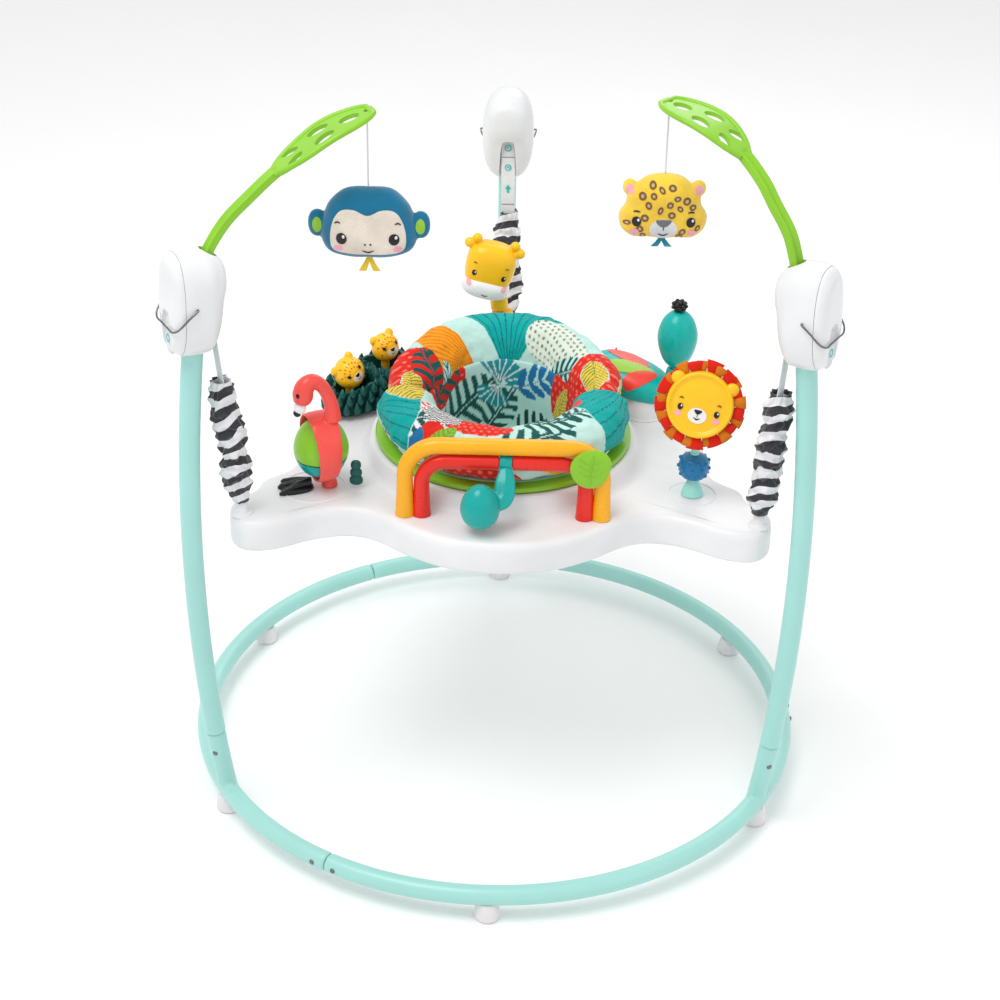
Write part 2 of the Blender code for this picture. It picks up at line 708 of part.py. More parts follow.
def arch(root):
    for name, half, top, bend, thick, paint in (
        ("arch_yellow", YELLOW_HALF, YELLOW_TOP, 0.040, YELLOW_RADIUS, "yellow"),
        ("arch_red", RED_HALF, RED_TOP, 0.026, RED_RADIUS, "red"),
    ):
        left = arch_path(half, top, bend)
        middle, radii = [], [thick] * len(left)
        if paint == "red":
            for x, r in ((-0.008, thick), (-0.008, GROOVE_RADIUS), (0.008, GROOVE_RADIUS), (0.008, thick)):
                middle.append((PADDLE_X + x, ARCH_Y, top))
                radii.append(r)
        right = [(2 * ARCH_X - x, y, z) for x, y, z in left[::-1]]
        radii += [thick] * len(right)
        node(name, rod(name, left + middle + right, radii, 8), paint, root)


def paddle(root):
    """An egg on a flat hook whose collar turns in the groove of the red bar."""
    axis = (PADDLE_X, ARCH_Y, RED_TOP)
    inner, outer, half = GROOVE_RADIUS + 0.0008, 0.0098, 0.0070
    ring = []
    for i in range(10):
        t = tau * i / 10
        ring.append([
            (PADDLE_X + x, ARCH_Y + r * cos(t), RED_TOP + r * sin(t))
            for r, x in ((inner, -half), (outer, -half), (outer, half), (inner, half))
        ])
    collar = loft("collar", ring, looped=True)
    hook = smooth_path([
        (PADDLE_X, ARCH_Y - 0.0070, RED_TOP - 0.0053), (PADDLE_X, ARCH_Y - 0.0190, RED_TOP - 0.0160),
        (PADDLE_X - 0.003, -0.2070, 0.4800), (-0.010, -0.2140, 0.4750),
    ], 6)
    widths = [0.0066, 0.0090, 0.0115, 0.0115, 0.0110, 0.0100, 0.0090]
    bar = []
    for (point, _, _), wide, ahead in zip(frames(hook), widths, [b - a for a, b in zip(hook, hook[1:])] + [None]):
        ahead = (ahead or hook[-1] - hook[-2]).normalized()
        across = (Vector((1, 0, 0)) - ahead * ahead.x).normalized()
        bar.append(circle(point, across * wide / 0.0030, across.cross(ahead), 0.0030, 10))
    arm = loft("arm", bar)
    bulb = egg("bulb", (-0.0200, -0.2160, 0.4765), (0.0205, 0.0205, 0.0260), 12, 8)
    node("paddle", join("paddle", collar, arm, bulb), "teal", root, axis)
    centre = (0.1120, ARCH_Y - RED_RADIUS - 0.0055, 0.5160)
    profile = [(0.0245, -0.0022), (0.0265, 0.0), (0.0245, 0.0022)]
    node("arch_leaf", turned("arch_leaf", profile, 14, centre, (0, 1, 0)), "lime", root, centre)


def lion(root):
    x, y = LION_POST
    foot = [(0.0200, GAP), (0.0170, 0.006), (0.0080, 0.017), (0.0060, 0.022), (0.0055, 0.060), (0.0045, 0.060)]
    foot += [(0.0045, 0.1480), (0.0020, 0.1495)]
    node("lion_post", turned("lion_post", foot, 12, (x, y, DECK_Z)), "mint", root)
    ball = [(0.0063, -0.0170), (0.0150, -0.0155), (0.0205, -0.006), (0.0205, 0.006), (0.0150, 0.0155)]
    ball += [(0.0063, 0.0170)]
    centre = (x, y, 0.4810)
    node("lion_ball", lathe("lion_ball", ball, 14, centre), "blue", root, centre)
    hx, hy, hz = LION_HEAD
    facing = LION_FACING
    face = turned("face", [(0.0300, -0.0120), (0.0405, -0.0080), (0.0415, 0.0), (0.0400, 0.0085),
                           (0.0360, 0.0080), (0.0340, 0.0065)], 20, LION_HEAD, facing)
    sleeve = turned("sleeve", [(0.0100, 0.5230), (0.0100, 0.6000)], 10, (x, y, 0))
    bore = turned("bore", [(0.0049, 0.500), (0.0049, 0.5900)], 10, (x, y, 0))
    head = cut("lion_head", join("lion_head", face, sleeve), bore)
    node("lion_head", head, "yellow", root, (x, y, hz))
    side = Vector(facing).normalized()
    across = side.cross(Vector((0, 0, 1))).normalized()
    upward = across.cross(side)
    rings = []
    for i in range(20):
        t = tau * i / 20
        out = across * cos(t) + upward * sin(t)
        middle = Vector(LION_HEAD)
        rings.append([
            middle + out * r + side * d
            for r, d in ((0.0420, -0.0030), (0.0545, -0.0020), (0.0545, 0.0015), (0.0420, 0.0020))
        ])
    node("lion_mane", loft("lion_mane", rings, looped=True), "red", root, (x, y, hz))


def flamingo(root):
    """A pink hoop with a neck and head. An egg turns inside the hoop on an upright pin."""
    cx, cy, cz = FLAMINGO
    centre = Vector(FLAMINGO)
    facing = Vector((cos(radians(205)), sin(radians(205)), 0))
    across = facing.cross(Vector((0, 0, 1))).normalized()
    rings = []
    for i in range(18):
        t = tau * i / 18
        out = across * (cos(t) * 0.86) + Vector((0, 0, 1)) * sin(t)
        half = 0.0150 + 0.003 * sin(t)
        rings.append([
            centre + out * r + facing * d
            for r, d in ((0.0415, half), (0.0415, -half), (0.0450, -half * 0.9), (0.0450, half * 0.9))
        ])
    hoop = loft("hoop", rings, looped=True)
    top = centre + across * -0.010 + facing * -0.006 + Vector((0.004, 0, 0))
    neck_path = smooth_path([
        top + Vector((0, 0, 0.0400)), top + Vector((0.002, 0, 0.062)),
        top + facing * 0.008 + Vector((0, 0, 0.088)), top + facing * 0.026 + Vector((0, 0, 0.099)),
        top + facing * 0.040 + Vector((0, 0, 0.086)), top + facing * 0.044 + Vector((0, 0, 0.066)),
    ], 10)
    neck = rod("neck", neck_path, [0.0085] + [0.0070] * 5 + [0.0080, 0.0100, 0.0120, 0.0120, 0.0085], 10)
    heel = turned("heel", [(0.0100, DECK_Z + GAP), (0.0090, 0.4560)], 8, (cx + 0.009, cy + 0.002, 0))
    pin_high = turned("pin", [(0.0030, 0.0392), (0.0030, 0.0430)], 6, FLAMINGO)
    body = join("flamingo_body", hoop, neck, heel, pin_high)
    node("flamingo_body", body, "coral", root)
    ball = [(0.0060, -0.0385), (0.0190, -0.0330), (0.0315, -0.0170), (0.0340, 0.0), (0.0300, 0.0180)]
    ball += [(0.0180, 0.0330), (0.0060, 0.0387)]
    node("flamingo_ball", turned("flamingo_ball", ball, 14, FLAMINGO), "lime", root, FLAMINGO)
    toes = [(0.0, -0.0165), (-0.024, -0.0150), (-0.030, -0.009), (-0.024, -0.002), (-0.031, 0.004), (-0.026, 0.011),
            (-0.004, 0.0125), (0.010, 0.007), (0.012, -0.008)]
    at = Vector((-0.2400, -0.1170, 0))
    rings = []
    for z, share in ((DECK_Z + GAP, 1.0), (DECK_Z + 0.0090, 0.98), (DECK_Z + 0.0125, 0.85)):
        rings.append([at + Vector((a * share, b * share, z)) for a, b in toes])
    node("flamingo_feet", loft("flamingo_feet", rings), "black", root)


def bush(root):
    """A leafy trough on the tray. Two cubs ride a seesaw bar inside it."""
    turn = Matrix.Translation(BUSH) @ Matrix.Rotation(BUSH_TURN, 4, "Z")
    count = 18
    layers = [(0.062, 0.029, 0.0003), (0.068, 0.031, 0.022), (0.064, 0.029, None)]
    cavity = [(0.060, 0.025, None), (0.062, 0.025, 0.022), (0.056, 0.024, 0.005)]
    rings = []
    for a, b, z in layers + cavity:
        turns = [tau * k / count for k in range(count)]
        rings.append([(a * cos(t), b * sin(t), z or 0.0475 + 0.0125 * cos(t)) for t in turns])
    planter = loft("bush", rings)
    planter.transform(turn)
    node("bush", planter, "forest", root)
    pivot = (BUSH[0], BUSH[1], BUSH[2] + 0.0155)
    for name, x, lift in (("cub_front", -0.034, 0.056), ("cub_rear", 0.034, 0.072)):
        head = egg(name, (x, 0, lift), (0.0185, 0.0190, 0.0200), 12, 8)
        stem = turned("stem", [(0.0060, 0.0185 if x < 0 else 0.0188), (0.0060, lift)], 8, (x, 0, 0))
        ears = [egg("ear", (x, y, lift + 0.0165), (0.006, 0.0065, 0.0075), 8, 5) for y in (-0.0115, 0.0115)]
        parts = [head, stem, *ears]
        if x < 0:
            parts.append(block("bar", (-0.0420, -0.0070, 0.0125), (0.0420, 0.0070, 0.0185)))
        mesh = join(name, *parts)
        mesh.transform(turn)
        node(name, mesh, "yellow", root, pivot)


def giraffe(root):
    x, y = GIRAFFE
    neck = [(0.0200, GAP), (0.0190, 0.006), (0.0155, 0.020), (0.0145, GIRAFFE_NOD_Z - DECK_Z - 0.0080)]
    node("giraffe_neck", turned("giraffe_neck", neck, 12, (x, y, DECK_Z)), "yellow", root)
    skull = egg("skull", (-0.0185, y, 0.5960), (0.0315, 0.0240, 0.0330), 14, 8)
    muzzle = egg("muzzle", (-0.0165, y - 0.010, 0.5720), (0.0270, 0.0220, 0.0190), 12, 8)
    stem = turned("stem", [(0.0110, GIRAFFE_NOD_Z - 0.0040), (0.0110, 0.5700)], 10, (x - 0.004, y, 0))
    horns = [rod("horn", [(a, y, 0.6240), (a * 1.25 + 0.004, y, 0.6500)], [0.0045, 0.0065], 8) for a in (-0.032, -0.008)]
    ears = [egg("ear", (a, y, 0.6170), (0.0130, 0.0060, 0.0070), 8, 5) for a in (-0.0470, 0.0110)]
    head = join("giraffe_head", skull, muzzle, stem, *horns, *ears)
    node("giraffe_head", head, "yellow", root, (x, y, GIRAFFE_NOD_Z))


def bird(root):
    """A teal bird with a fan tail. The egg-shaped body rocks on the tail housing."""
    x, y, z = BIRD
    tail = egg("tail", (0.1750, 0.130, 0.4840), (0.0560, 0.0360, 0.0260), 16, 8,
               Matrix.Rotation(radians(-28), 4, "Z") @ Matrix.Rotation(radians(12), 4, "Y"))
    base = turned("base", [(0.0290, DECK_Z + GAP), (0.0280, 0.4560), (0.0220, 0.4720)], 16, (0.1920, 0.1170, 0))
    neck = turned("neck", [(0.0140, 0.4500), (0.0110, BIRD_NECK_Z - 0.008)], 10, (x, y, 0))
    floor = block("floor", (0.05, 0.02, 0.40), (0.35, 0.25, DECK_Z + GAP))
    housing = cut("bird_housing", join("bird_housing", tail, base, neck), floor)
    node("bird_housing", housing, "teal", root)
    pivot = (x, y, BIRD_NECK_Z)
    body = [(0.0080, BIRD_NECK_Z - 0.0050), (0.0190, 0.5230), (0.0260, 0.5420), (0.0265, 0.5550), (0.0210, 0.5720)]
    body += [(0.0100, 0.5860), (0.0060, 0.5875)]
    node("bird_body", turned("bird_body", body, 14, (x, y, 0)), "teal", root, pivot)
    crest = [(0.0050, 0.5875 + GAP), (0.0105, 0.5905), (0.0115, 0.5970), (0.0075, 0.6030)]
    node("bird_crest", turned("bird_crest", crest, 10, (x, y, 0)), "black", root, pivot)


def build():
    clear_scene()
    root = empty("jumper", location=(0, -CENTRE_Y, 0))
    base_tubes(root)
    feet(root)
    side_pieces(root)
    arms(root)
    node("tray_shell", tray_mesh(), "white", root)
    seat(root)
    arch(root)
    paddle(root)
    lion(root)
    flamingo(root)
    bush(root)
    giraffe(root)
    bird(root)
    plush_toys(root)


build()
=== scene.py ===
"""Looks of the activity jumper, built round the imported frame.

Sizes are in metres. Shapes are drawn about the base ring's centre, and ORIGIN moves them into the frame.
"""

from math import atan2, cos, pi, radians, sin, sqrt, tau

import bmesh
import bpy
import numpy as np
from mathutils import Matrix, Vector, noise
from mathutils.bvhtree import BVHTree


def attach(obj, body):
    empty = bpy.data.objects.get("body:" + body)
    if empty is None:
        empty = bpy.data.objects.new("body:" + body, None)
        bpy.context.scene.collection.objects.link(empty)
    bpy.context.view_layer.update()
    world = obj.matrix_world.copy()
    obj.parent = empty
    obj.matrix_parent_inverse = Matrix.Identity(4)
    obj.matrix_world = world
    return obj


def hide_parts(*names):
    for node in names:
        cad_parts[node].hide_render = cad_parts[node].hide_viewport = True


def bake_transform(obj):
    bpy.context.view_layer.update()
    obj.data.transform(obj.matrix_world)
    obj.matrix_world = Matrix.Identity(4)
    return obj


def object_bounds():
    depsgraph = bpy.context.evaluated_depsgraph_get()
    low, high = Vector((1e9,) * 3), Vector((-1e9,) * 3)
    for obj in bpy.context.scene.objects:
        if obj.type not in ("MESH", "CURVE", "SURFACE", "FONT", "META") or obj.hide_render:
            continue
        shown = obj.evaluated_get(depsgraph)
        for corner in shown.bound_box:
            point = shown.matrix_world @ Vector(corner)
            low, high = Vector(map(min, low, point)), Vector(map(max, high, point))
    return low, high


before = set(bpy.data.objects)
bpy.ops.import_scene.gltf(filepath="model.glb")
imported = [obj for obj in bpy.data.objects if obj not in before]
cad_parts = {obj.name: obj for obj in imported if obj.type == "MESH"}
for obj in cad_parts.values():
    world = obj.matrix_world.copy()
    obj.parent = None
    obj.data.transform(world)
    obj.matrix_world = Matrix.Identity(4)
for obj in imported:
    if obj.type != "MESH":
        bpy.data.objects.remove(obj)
cad_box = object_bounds()

# The base ring's centre in the frame: the ring and its feet are as wide as the box, and the front foot is its front.
ORIGIN = Vector((0, cad_box[0].y + 0.4165, 0))
# The base ring's centre line and the frame tube's radius.
RING, RING_Z, TUBE = 0.400, 0.034, 0.0127
TUBE_END = TUBE - 0.0009
# The legs: degrees round the ring, then how far they reach and bow, and where their stubs end.
SIDES = {"back": 90, "left": 210, "right": 330}
LEG_REACH, LEG_BOW, LEG_BOW_Z, STUB_TOP = 0.4255, 0.215, 0.385, 0.130
TOWER_R, TOWER_Z, TOWER_LEAN = 0.4065, 0.728, radians(2)
# The tray's top and lower edge, how far it hangs to the right, and the hole for the seat.
DECK, SKIRT, HUNG_X, SEAT_HOLE = 0.440, 0.400, 0.0045, 0.1585
# The straps: their upper and lower ends, and the line they hang on.
HANG_TOP, STRAP_FOOT = 0.736, 0.6135
STRAP_REACH, STRAP_SLOPE, STRAP_HEIGHT = 0.3637, 0.085, 0.455
# The leaf arms: the heading from above, and the spine as (distance out, height).
ARM_FOOT, STRING_AT = 0.3865, 0.196
ARMS = {
    "left": (radians(23.3), [
        (-0.006, 0.768), (0.0, 0.779), (0.011, 0.798), (0.029, 0.821), (0.056, 0.8445), (0.0825, 0.866),
        (0.116, 0.889), (0.152, 0.9105), (0.204, 0.929),
    ]),
    "right": (radians(138.1), [
        (-0.006, 0.768), (0.0, 0.780), (0.015, 0.817), (0.039, 0.8465), (0.059, 0.8705), (0.0925, 0.897),
        (0.137, 0.919), (0.204, 0.929),
    ]),
}
# The arch over the tray's front, and the height of the giraffe's nod.
YELLOW_TOP, RED_TOP, ARCH_Y, ARCH_X, PADDLE_X = 0.5350, 0.5142, -0.174, 0.0078, 0.010
NOD_Z = 0.5370
GOLDEN_ANGLE = 2.39996


# ---------------------------------------------------------------- colours and materials


def rgb(r, g, b):
    """An 8-bit screen colour as linear light."""
    out = []
    for value in (r, g, b):
        share = value / 255
        out.append(share / 12.92 if share <= 0.04045 else ((share + 0.055) / 1.055) ** 2.4)
    return tuple(out)


MINT = rgb(158, 214, 206)
WHITE = rgb(226, 227, 229)
LIME = rgb(134, 194, 40)
YELLOW = rgb(244, 172, 18)
SUN = rgb(252, 194, 26)
RED = rgb(226, 38, 24)
CORAL = rgb(238, 80, 72)
TEAL = rgb(0, 170, 166)
TEAL_DARK = rgb(8, 98, 112)
DEEP = rgb(20, 88, 86)
NAVY = rgb(28, 116, 172)
BLACK = rgb(34, 32, 36)
CREAM = rgb(232, 220, 206)
PALE_MINT = rgb(196, 234, 226)
PINK = rgb(244, 168, 190)
ORANGE = rgb(250, 158, 28)
BLUE_FUR = rgb(0, 112, 152)
GOLD_FUR = rgb(252, 206, 66)
SPOT = rgb(126, 92, 60)
GREY = rgb(120, 122, 128)
OLIVE = rgb(120, 150, 70)
STRAW = rgb(250, 208, 78)
CHALK = rgb(238, 240, 240)
DOT = rgb(250, 120, 104)


class Paint:
    """A node material being built on a Principled shader."""

    def __init__(self, name):
        self.made = bpy.data.materials.new(name)
        self.made.use_nodes = True
        self.tree = self.made.node_tree
        self.shader = self.tree.nodes["Principled BSDF"]
        self.coords = self.tree.nodes.new("ShaderNodeTexCoord").outputs["Object"]

    def node(self, kind, **values):
        made = self.tree.nodes.new("ShaderNode" + kind)
        for key, value in values.items():
            if hasattr(made, key):
                setattr(made, key, value)
            else:
                made.inputs[key.replace("_", " ")].default_value = value
        return made

    def set(self, **values):
        """Constants on the shader's own sockets."""
        for key, value in values.items():
            self.shader.inputs[key.replace("_", " ")].default_value = value

    def link(self, source, target):
        self.tree.links.new(source, target)

    def noise(self, scale, detail=3.0, rough=0.5):
        made = self.node("TexNoise", Scale=scale, Detail=detail, Roughness=rough)
        self.link(self.coords, made.inputs["Vector"])
        return made.outputs["Fac"]

    def ramp(self, source, stops, sharp=False):
        made = self.node("ValToRGB")
        made.color_ramp.interpolation = "CONSTANT" if sharp else "LINEAR"
        points = made.color_ramp.elements
        while len(points) < len(stops):
            points.new(0.5)
        for point, (at, colour) in zip(points, stops):
            point.position = at
            point.color = (*colour, 1) if len(colour) == 3 else colour
        self.link(source, made.inputs["Fac"])
        return made.outputs["Color"]

    def mix(self, factor, a, b, blend="MIX"):
        made = self.node("Mix", data_type="RGBA", blend_type=blend)
        for socket, value in zip((made.inputs[0], made.inputs[6], made.inputs[7]), (factor, a, b)):
            if hasattr(value, "is_output"):
                self.link(value, socket)
            else:
                socket.default_value = value if isinstance(value, float) else (*value, 1)
        return made.outputs[2]

    def vary(self, colour, amount=0.06, scale=9.0):
        """The colour with soft lighter and darker patches."""
        low = tuple(c * (1 - amount) for c in colour)
        high = tuple(min(1.0, c * (1 + amount)) for c in colour)
        return self.ramp(self.noise(scale), [(0.35, low), (0.65, high)])

    def colour(self, source):
        self.link(source, self.shader.inputs["Base Color"])

    def rough(self, low, high, scale=60.0):
        made = self.node("MapRange", To_Min=low, To_Max=high)
        self.link(self.noise(scale, 4.0), made.inputs["Value"])
        self.link(made.outputs["Result"], self.shader.inputs["Roughness"])

    def bump(self, height, distance, strength=0.5, under=None):
        made = self.node("Bump", Strength=strength, Distance=distance)
        self.link(height, made.inputs["Height"])
        if under is not None:
            self.link(under, made.inputs["Normal"])
        self.link(made.outputs["Normal"], self.shader.inputs["Normal"])
        return made.outputs["Normal"]

    def weave(self, pitch=0.0011):
        """Crossed threads in object space, with no need of a UV map."""
        waves = []
        for direction in ("X", "Y", "Z"):
            wave = self.node("TexWave", bands_direction=direction, Scale=pi / 10 / pitch, Distortion=0.6, Detail=1.0)
            self.link(self.coords, wave.inputs["Vector"])
            waves.append(wave.outputs["Fac"])
        first = self.node("Math", operation="MULTIPLY")
        self.link(waves[0], first.inputs[0])
        self.link(waves[1], first.inputs[1])
        both = self.node("Math", operation="ADD")
        self.link(first.outputs[0], both.inputs[0])
        self.link(waves[2], both.inputs[1])
        return both.outputs[0]


def plastic(name, colour, low=0.22, high=0.34, grain=0.00012, coat=0.15):
    paint = Paint(name)
    paint.colour(paint.vary(colour, 0.035, 14))
    paint.rough(low, high)
    paint.bump(paint.noise(900, 2), grain, 0.35, paint.bump(paint.noise(28, 2), 0.0004, 0.12))
    paint.set(Specular_IOR_Level=0.32, Coat_Weight=coat, Coat_Roughness=0.22)
    return paint.made


def painted_tube():
    paint = Paint("mint_enamel")
    paint.colour(paint.vary(MINT, 0.03, 7))
    paint.rough(0.30, 0.42, 35)
    paint.bump(paint.noise(650, 2), 0.0001, 0.3)
    paint.set(Coat_Weight=0.25, Coat_Roughness=0.3)
    return paint.made


def clear_plastic():
    paint = Paint("clear_white_foot")
    paint.colour(paint.vary(rgb(240, 236, 238), 0.02))
    paint.rough(0.25, 0.4)
    paint.bump(paint.noise(300), 0.0001, 0.3)
    paint.set(Subsurface_Weight=0.5, Subsurface_Radius=(0.02, 0.02, 0.02), Transmission_Weight=0.15)
    return paint.made


def wire():
    paint = Paint("spring_wire")
    paint.colour(paint.vary(rgb(120, 120, 124), 0.15, 60))
    paint.set(Metallic=1.0)
    paint.rough(0.18, 0.36, 120)
    paint.bump(paint.noise(1500), 0.00005, 0.3)
    return paint.made


def cloth(name, colour=None, layer=None, pitch=0.0011, sheen=0.35, fuzz=0.0003):
    """Woven or knitted cloth. Its colour is one tint, or the print held in the mesh's colour layer, darkened by painted
    shade between the threads.
    """
    paint = Paint(name)
    weave = paint.weave(pitch)
    if layer:
        print_colour = paint.node("VertexColor", layer_name=layer).outputs["Color"]
    else:
        print_colour = paint.vary(colour, 0.05, 18)
    # Painted shade: the colour darkens where the threads dip, as shadow between them would.
    painted_thread_shade = paint.ramp(weave, [(0.2, (0.86, 0.86, 0.86)), (1.0, (1.0, 1.0, 1.0))])
    worn = paint.ramp(paint.noise(35, 5), [(0.3, (0.93, 0.93, 0.93)), (0.7, (1.0, 1.0, 1.0))])
    paint.colour(paint.mix(1.0, paint.mix(1.0, print_colour, painted_thread_shade, "MULTIPLY"), worn, "MULTIPLY"))
    paint.rough(0.78, 0.95, 90)
    creases = paint.bump(paint.noise(70, 5, 0.6), 0.0018, 0.35)
    paint.bump(weave, fuzz, 0.55, creases)
    paint.set(Specular_IOR_Level=0.2, Sheen_Weight=sheen, Sheen_Roughness=0.5)
    return paint.made


def short_pile(name, colour):
    """Velvety plush."""
    paint = Paint(name)
    paint.colour(paint.mix(1.0, paint.vary(colour, 0.10, 30),
                           paint.ramp(paint.noise(900, 4), [(0.3, (0.82, 0.82, 0.82)), (0.7, (1, 1, 1))]), "MULTIPLY"))
    paint.rough(0.85, 0.98, 200)
    paint.bump(paint.noise(1400, 4, 0.7), 0.0006, 0.7, paint.bump(paint.noise(60, 4), 0.002, 0.3))
    paint.set(Sheen_Weight=0.6, Sheen_Roughness=0.4)
    return paint.made


def zebra_cloth():
    """White cloth with uneven dark bands that lean and break."""
    paint = Paint("zebra_print")
    bands = paint.node("TexWave", bands_direction="Z", Scale=2.35, Distortion=5.2, Detail=1.5, Detail_Scale=1.3)
    stretch = paint.node("Mapping")
    stretch.inputs["Scale"].default_value = (7.0, 7.0, 6.0)
    stretch.inputs["Rotation"].default_value = (0.16, 0.20, 0)
    paint.link(paint.coords, stretch.inputs["Vector"])
    paint.link(stretch.outputs["Vector"], bands.inputs["Vector"])
    printed = paint.ramp(bands.outputs["Fac"], [(0.0, rgb(44, 42, 47)), (0.47, rgb(232, 231, 235))], True)
    worn = paint.ramp(paint.noise(55, 5), [(0.3, (0.88, 0.88, 0.9)), (0.7, (1.0, 1.0, 1.0))])
    paint.colour(paint.mix(1.0, printed, worn, "MULTIPLY"))
    paint.rough(0.75, 0.95, 90)
    paint.bump(paint.weave(), 0.0002, 0.5, paint.bump(paint.noise(130, 5), 0.0012, 0.5))
    paint.set(Sheen_Weight=0.3)
    return paint.made


PAINTS = {
    "tube": painted_tube(),
    "foot": clear_plastic(),
    "wire": wire(),
    "shell": plastic("white_shell", WHITE, 0.16, 0.26, 0.00006, 0.4),
    "tray": plastic("white_tray", rgb(228, 228, 230), 0.30, 0.42, 0.00016, 0.1),
    "lime": plastic("lime_plastic", LIME, 0.24, 0.36),
    "yellow": plastic("yellow_plastic", YELLOW),
    "sun": plastic("sun_plastic", SUN),
    "red": plastic("red_plastic", RED),
    "orange": plastic("orange_plastic", rgb(206, 116, 20)),
    "coral": plastic("coral_plastic", CORAL),
    "teal": plastic("teal_plastic", rgb(0, 160, 154), 0.15, 0.28, 0.00008, 0.12),
    "aqua": plastic("aqua_plastic", rgb(0, 176, 168), 0.2, 0.32),
    "forest": plastic("forest_plastic", rgb(10, 84, 80), 0.3, 0.45, 0.0003),
    "black": plastic("black_plastic", rgb(22, 22, 25), 0.18, 0.3),
    "ball": plastic("blue_plastic", rgb(18, 116, 168), 0.2, 0.32),
    "post": plastic("mint_plastic", rgb(158, 226, 214), 0.2, 0.32),
    "muzzle": plastic("muzzle_white", rgb(236, 234, 236), 0.3, 0.42),
    "blush": plastic("blush_pink", rgb(243, 170, 178), 0.35, 0.5),
    "panel_lime": plastic("panel_lime", rgb(158, 202, 74), 0.3, 0.45),
    "panel_red": plastic("panel_red", rgb(240, 70, 58), 0.3, 0.45),
    "mark": plastic("mark_teal", rgb(48, 190, 186), 0.4, 0.55),
    "webbing": cloth("strap_webbing", rgb(236, 238, 240), pitch=0.0016, fuzz=0.0005),
    "thread": cloth("white_cord", rgb(232, 232, 236), pitch=0.0008),
    "zebra": zebra_cloth(),
    "print": cloth("jungle_print", layer="print", sheen=0.08, pitch=0.0006, fuzz=0.00007),
    "mane_red": cloth("red_ribbon", rgb(226, 34, 12), sheen=0.15),
    "mane_orange": cloth("orange_ribbon", rgb(216, 122, 18), sheen=0.15),
    "fur_blue": short_pile("blue_fur", BLUE_FUR),
    "fur_gold": short_pile("gold_fur", GOLD_FUR),
    "fur_cream": short_pile("cream_fur", CREAM),
    "fur_white": short_pile("white_fur", rgb(226, 226, 230)),
    "fur_pink": short_pile("pink_fur", PINK),
    "fur_lime": short_pile("lime_fur", rgb(150, 200, 60)),
    "fur_spot": short_pile("spot_fur", SPOT),
    "fur_sand": short_pile("sand_fur", rgb(206, 176, 120)),
    "stitch_dark": cloth("dark_stitch", rgb(40, 34, 40), pitch=0.0006),
    "stitch_white": cloth("white_stitch", rgb(245, 245, 248), pitch=0.0006),
    "stitch_grey": cloth("grey_stitch", GREY, pitch=0.0006),
    "ribbon_yellow": cloth("yellow_ribbon", rgb(250, 212, 60), sheen=0.5),
    "ribbon_teal": cloth("teal_ribbon", rgb(20, 140, 170), sheen=0.5),
}


# ---------------------------------------------------------------- mesh helpers


def new_mesh(name, verts, faces):
    mesh = bpy.data.meshes.new(name)
    mesh.from_pydata([tuple(v) for v in verts], [], faces)
    bm = bmesh.new()
    bm.from_mesh(mesh)
    bmesh.ops.recalc_face_normals(bm, faces=bm.faces)
    bm.to_mesh(mesh)
    bm.free()
    return mesh


def loft(name, rings, looped=False, capped=True):
    """A skin over closed rings with equal numbers of points."""
    count, rows = len(rings[0]), len(rings)
    verts = [point for ring in rings for point in ring]
    faces = []
    for row in range(rows if looped else rows - 1):
        a, b = row * count, (row + 1) % rows * count
        for i in range(count):
            j = (i + 1) % count
            faces.append((a + i, a + j, b + j, b + i))
    if capped and not looped:
        faces.append(tuple(range(count)))
        faces.append(tuple(range((rows - 1) * count, rows * count)))
    return new_mesh(name, verts, faces)


def frames(points):
    """Cross directions carried along a path without twist."""
    points = [Vector(point) for point in points]
    last = len(points) - 1
    side, found = None, []
    for i, point in enumerate(points):
        ahead = (points[min(i + 1, last)] - points[max(i - 1, 0)]).normalized()
        if side is None:
            side = Vector((0, 1, 0)) if abs(ahead.y) < 0.9 else Vector((1, 0, 0))
        side = (side - ahead * side.dot(ahead)).normalized()
        found.append((point, side, ahead.cross(side)))
    return found


def around(count):
    """Angles spread evenly round one turn."""
    return [tau * i / count for i in range(count)]


def squared(value, power):
    """A sine or cosine raised to a power with its sign kept, which squares off a circle."""
    return abs(value) ** power * (1 if value >= 0 else -1)


def circle(centre, side, up, radius, count):
    return [centre + side * (radius * cos(t)) + up * (radius * sin(t)) for t in around(count)]


def tube(name, points, radii, count=20):
    """A round bar along points. Radii is one number or one for each point."""
    if isinstance(radii, float):
        radii = [radii] * len(points)
    return loft(name, [circle(p, side, up, r, count) for (p, side, up), r in zip(frames(points), radii)])


def smooth(points, count):
    """Points on a Catmull-Rom curve through a few chosen ones."""
    points = [Vector(point) for point in points]
    ends = [points[0] * 2 - points[1], *points, points[-1] * 2 - points[-2]]
    made = []
    for i in range(count + 1):
        at = (len(points) - 1) * i / count
        k = min(int(at), len(points) - 2)
        t = at - k
        a, b, c, d = ends[k : k + 4]
        made.append((b * 2 + (c - a) * t + (a * 2 - b * 5 + c * 4 - d) * t**2 + (b * 3 - a - c * 3 + d) * t**3) / 2)
    return made


def smooth_list(values, count):
    return [p.x for p in smooth([(v, 0, 0) for v in values], count)]


def lathe(name, profile, centre=(0, 0, 0), axis=(0, 0, 1), count=48, ripple=None, looped=False):
    """A shape turned about an axis. The profile is (radius, distance along the axis)."""
    axis = Vector(axis).normalized()
    side = Vector((1, 0, 0)) if abs(axis.z) > 0.99 else axis.orthogonal().normalized()
    up = axis.cross(side)
    rings = []
    for r, d in profile:
        ring = []
        for t in around(count):
            reach = r * (ripple(t) if ripple else 1)
            ring.append(Vector(centre) + axis * d + side * (reach * cos(t)) + up * (reach * sin(t)))
        rings.append(ring)
    return loft(name, rings, looped=looped)


def rounded(profile, count=40):
    return [(max(p.x, 1e-5), p.y) for p in smooth([(r, d, 0) for r, d in profile], count)]


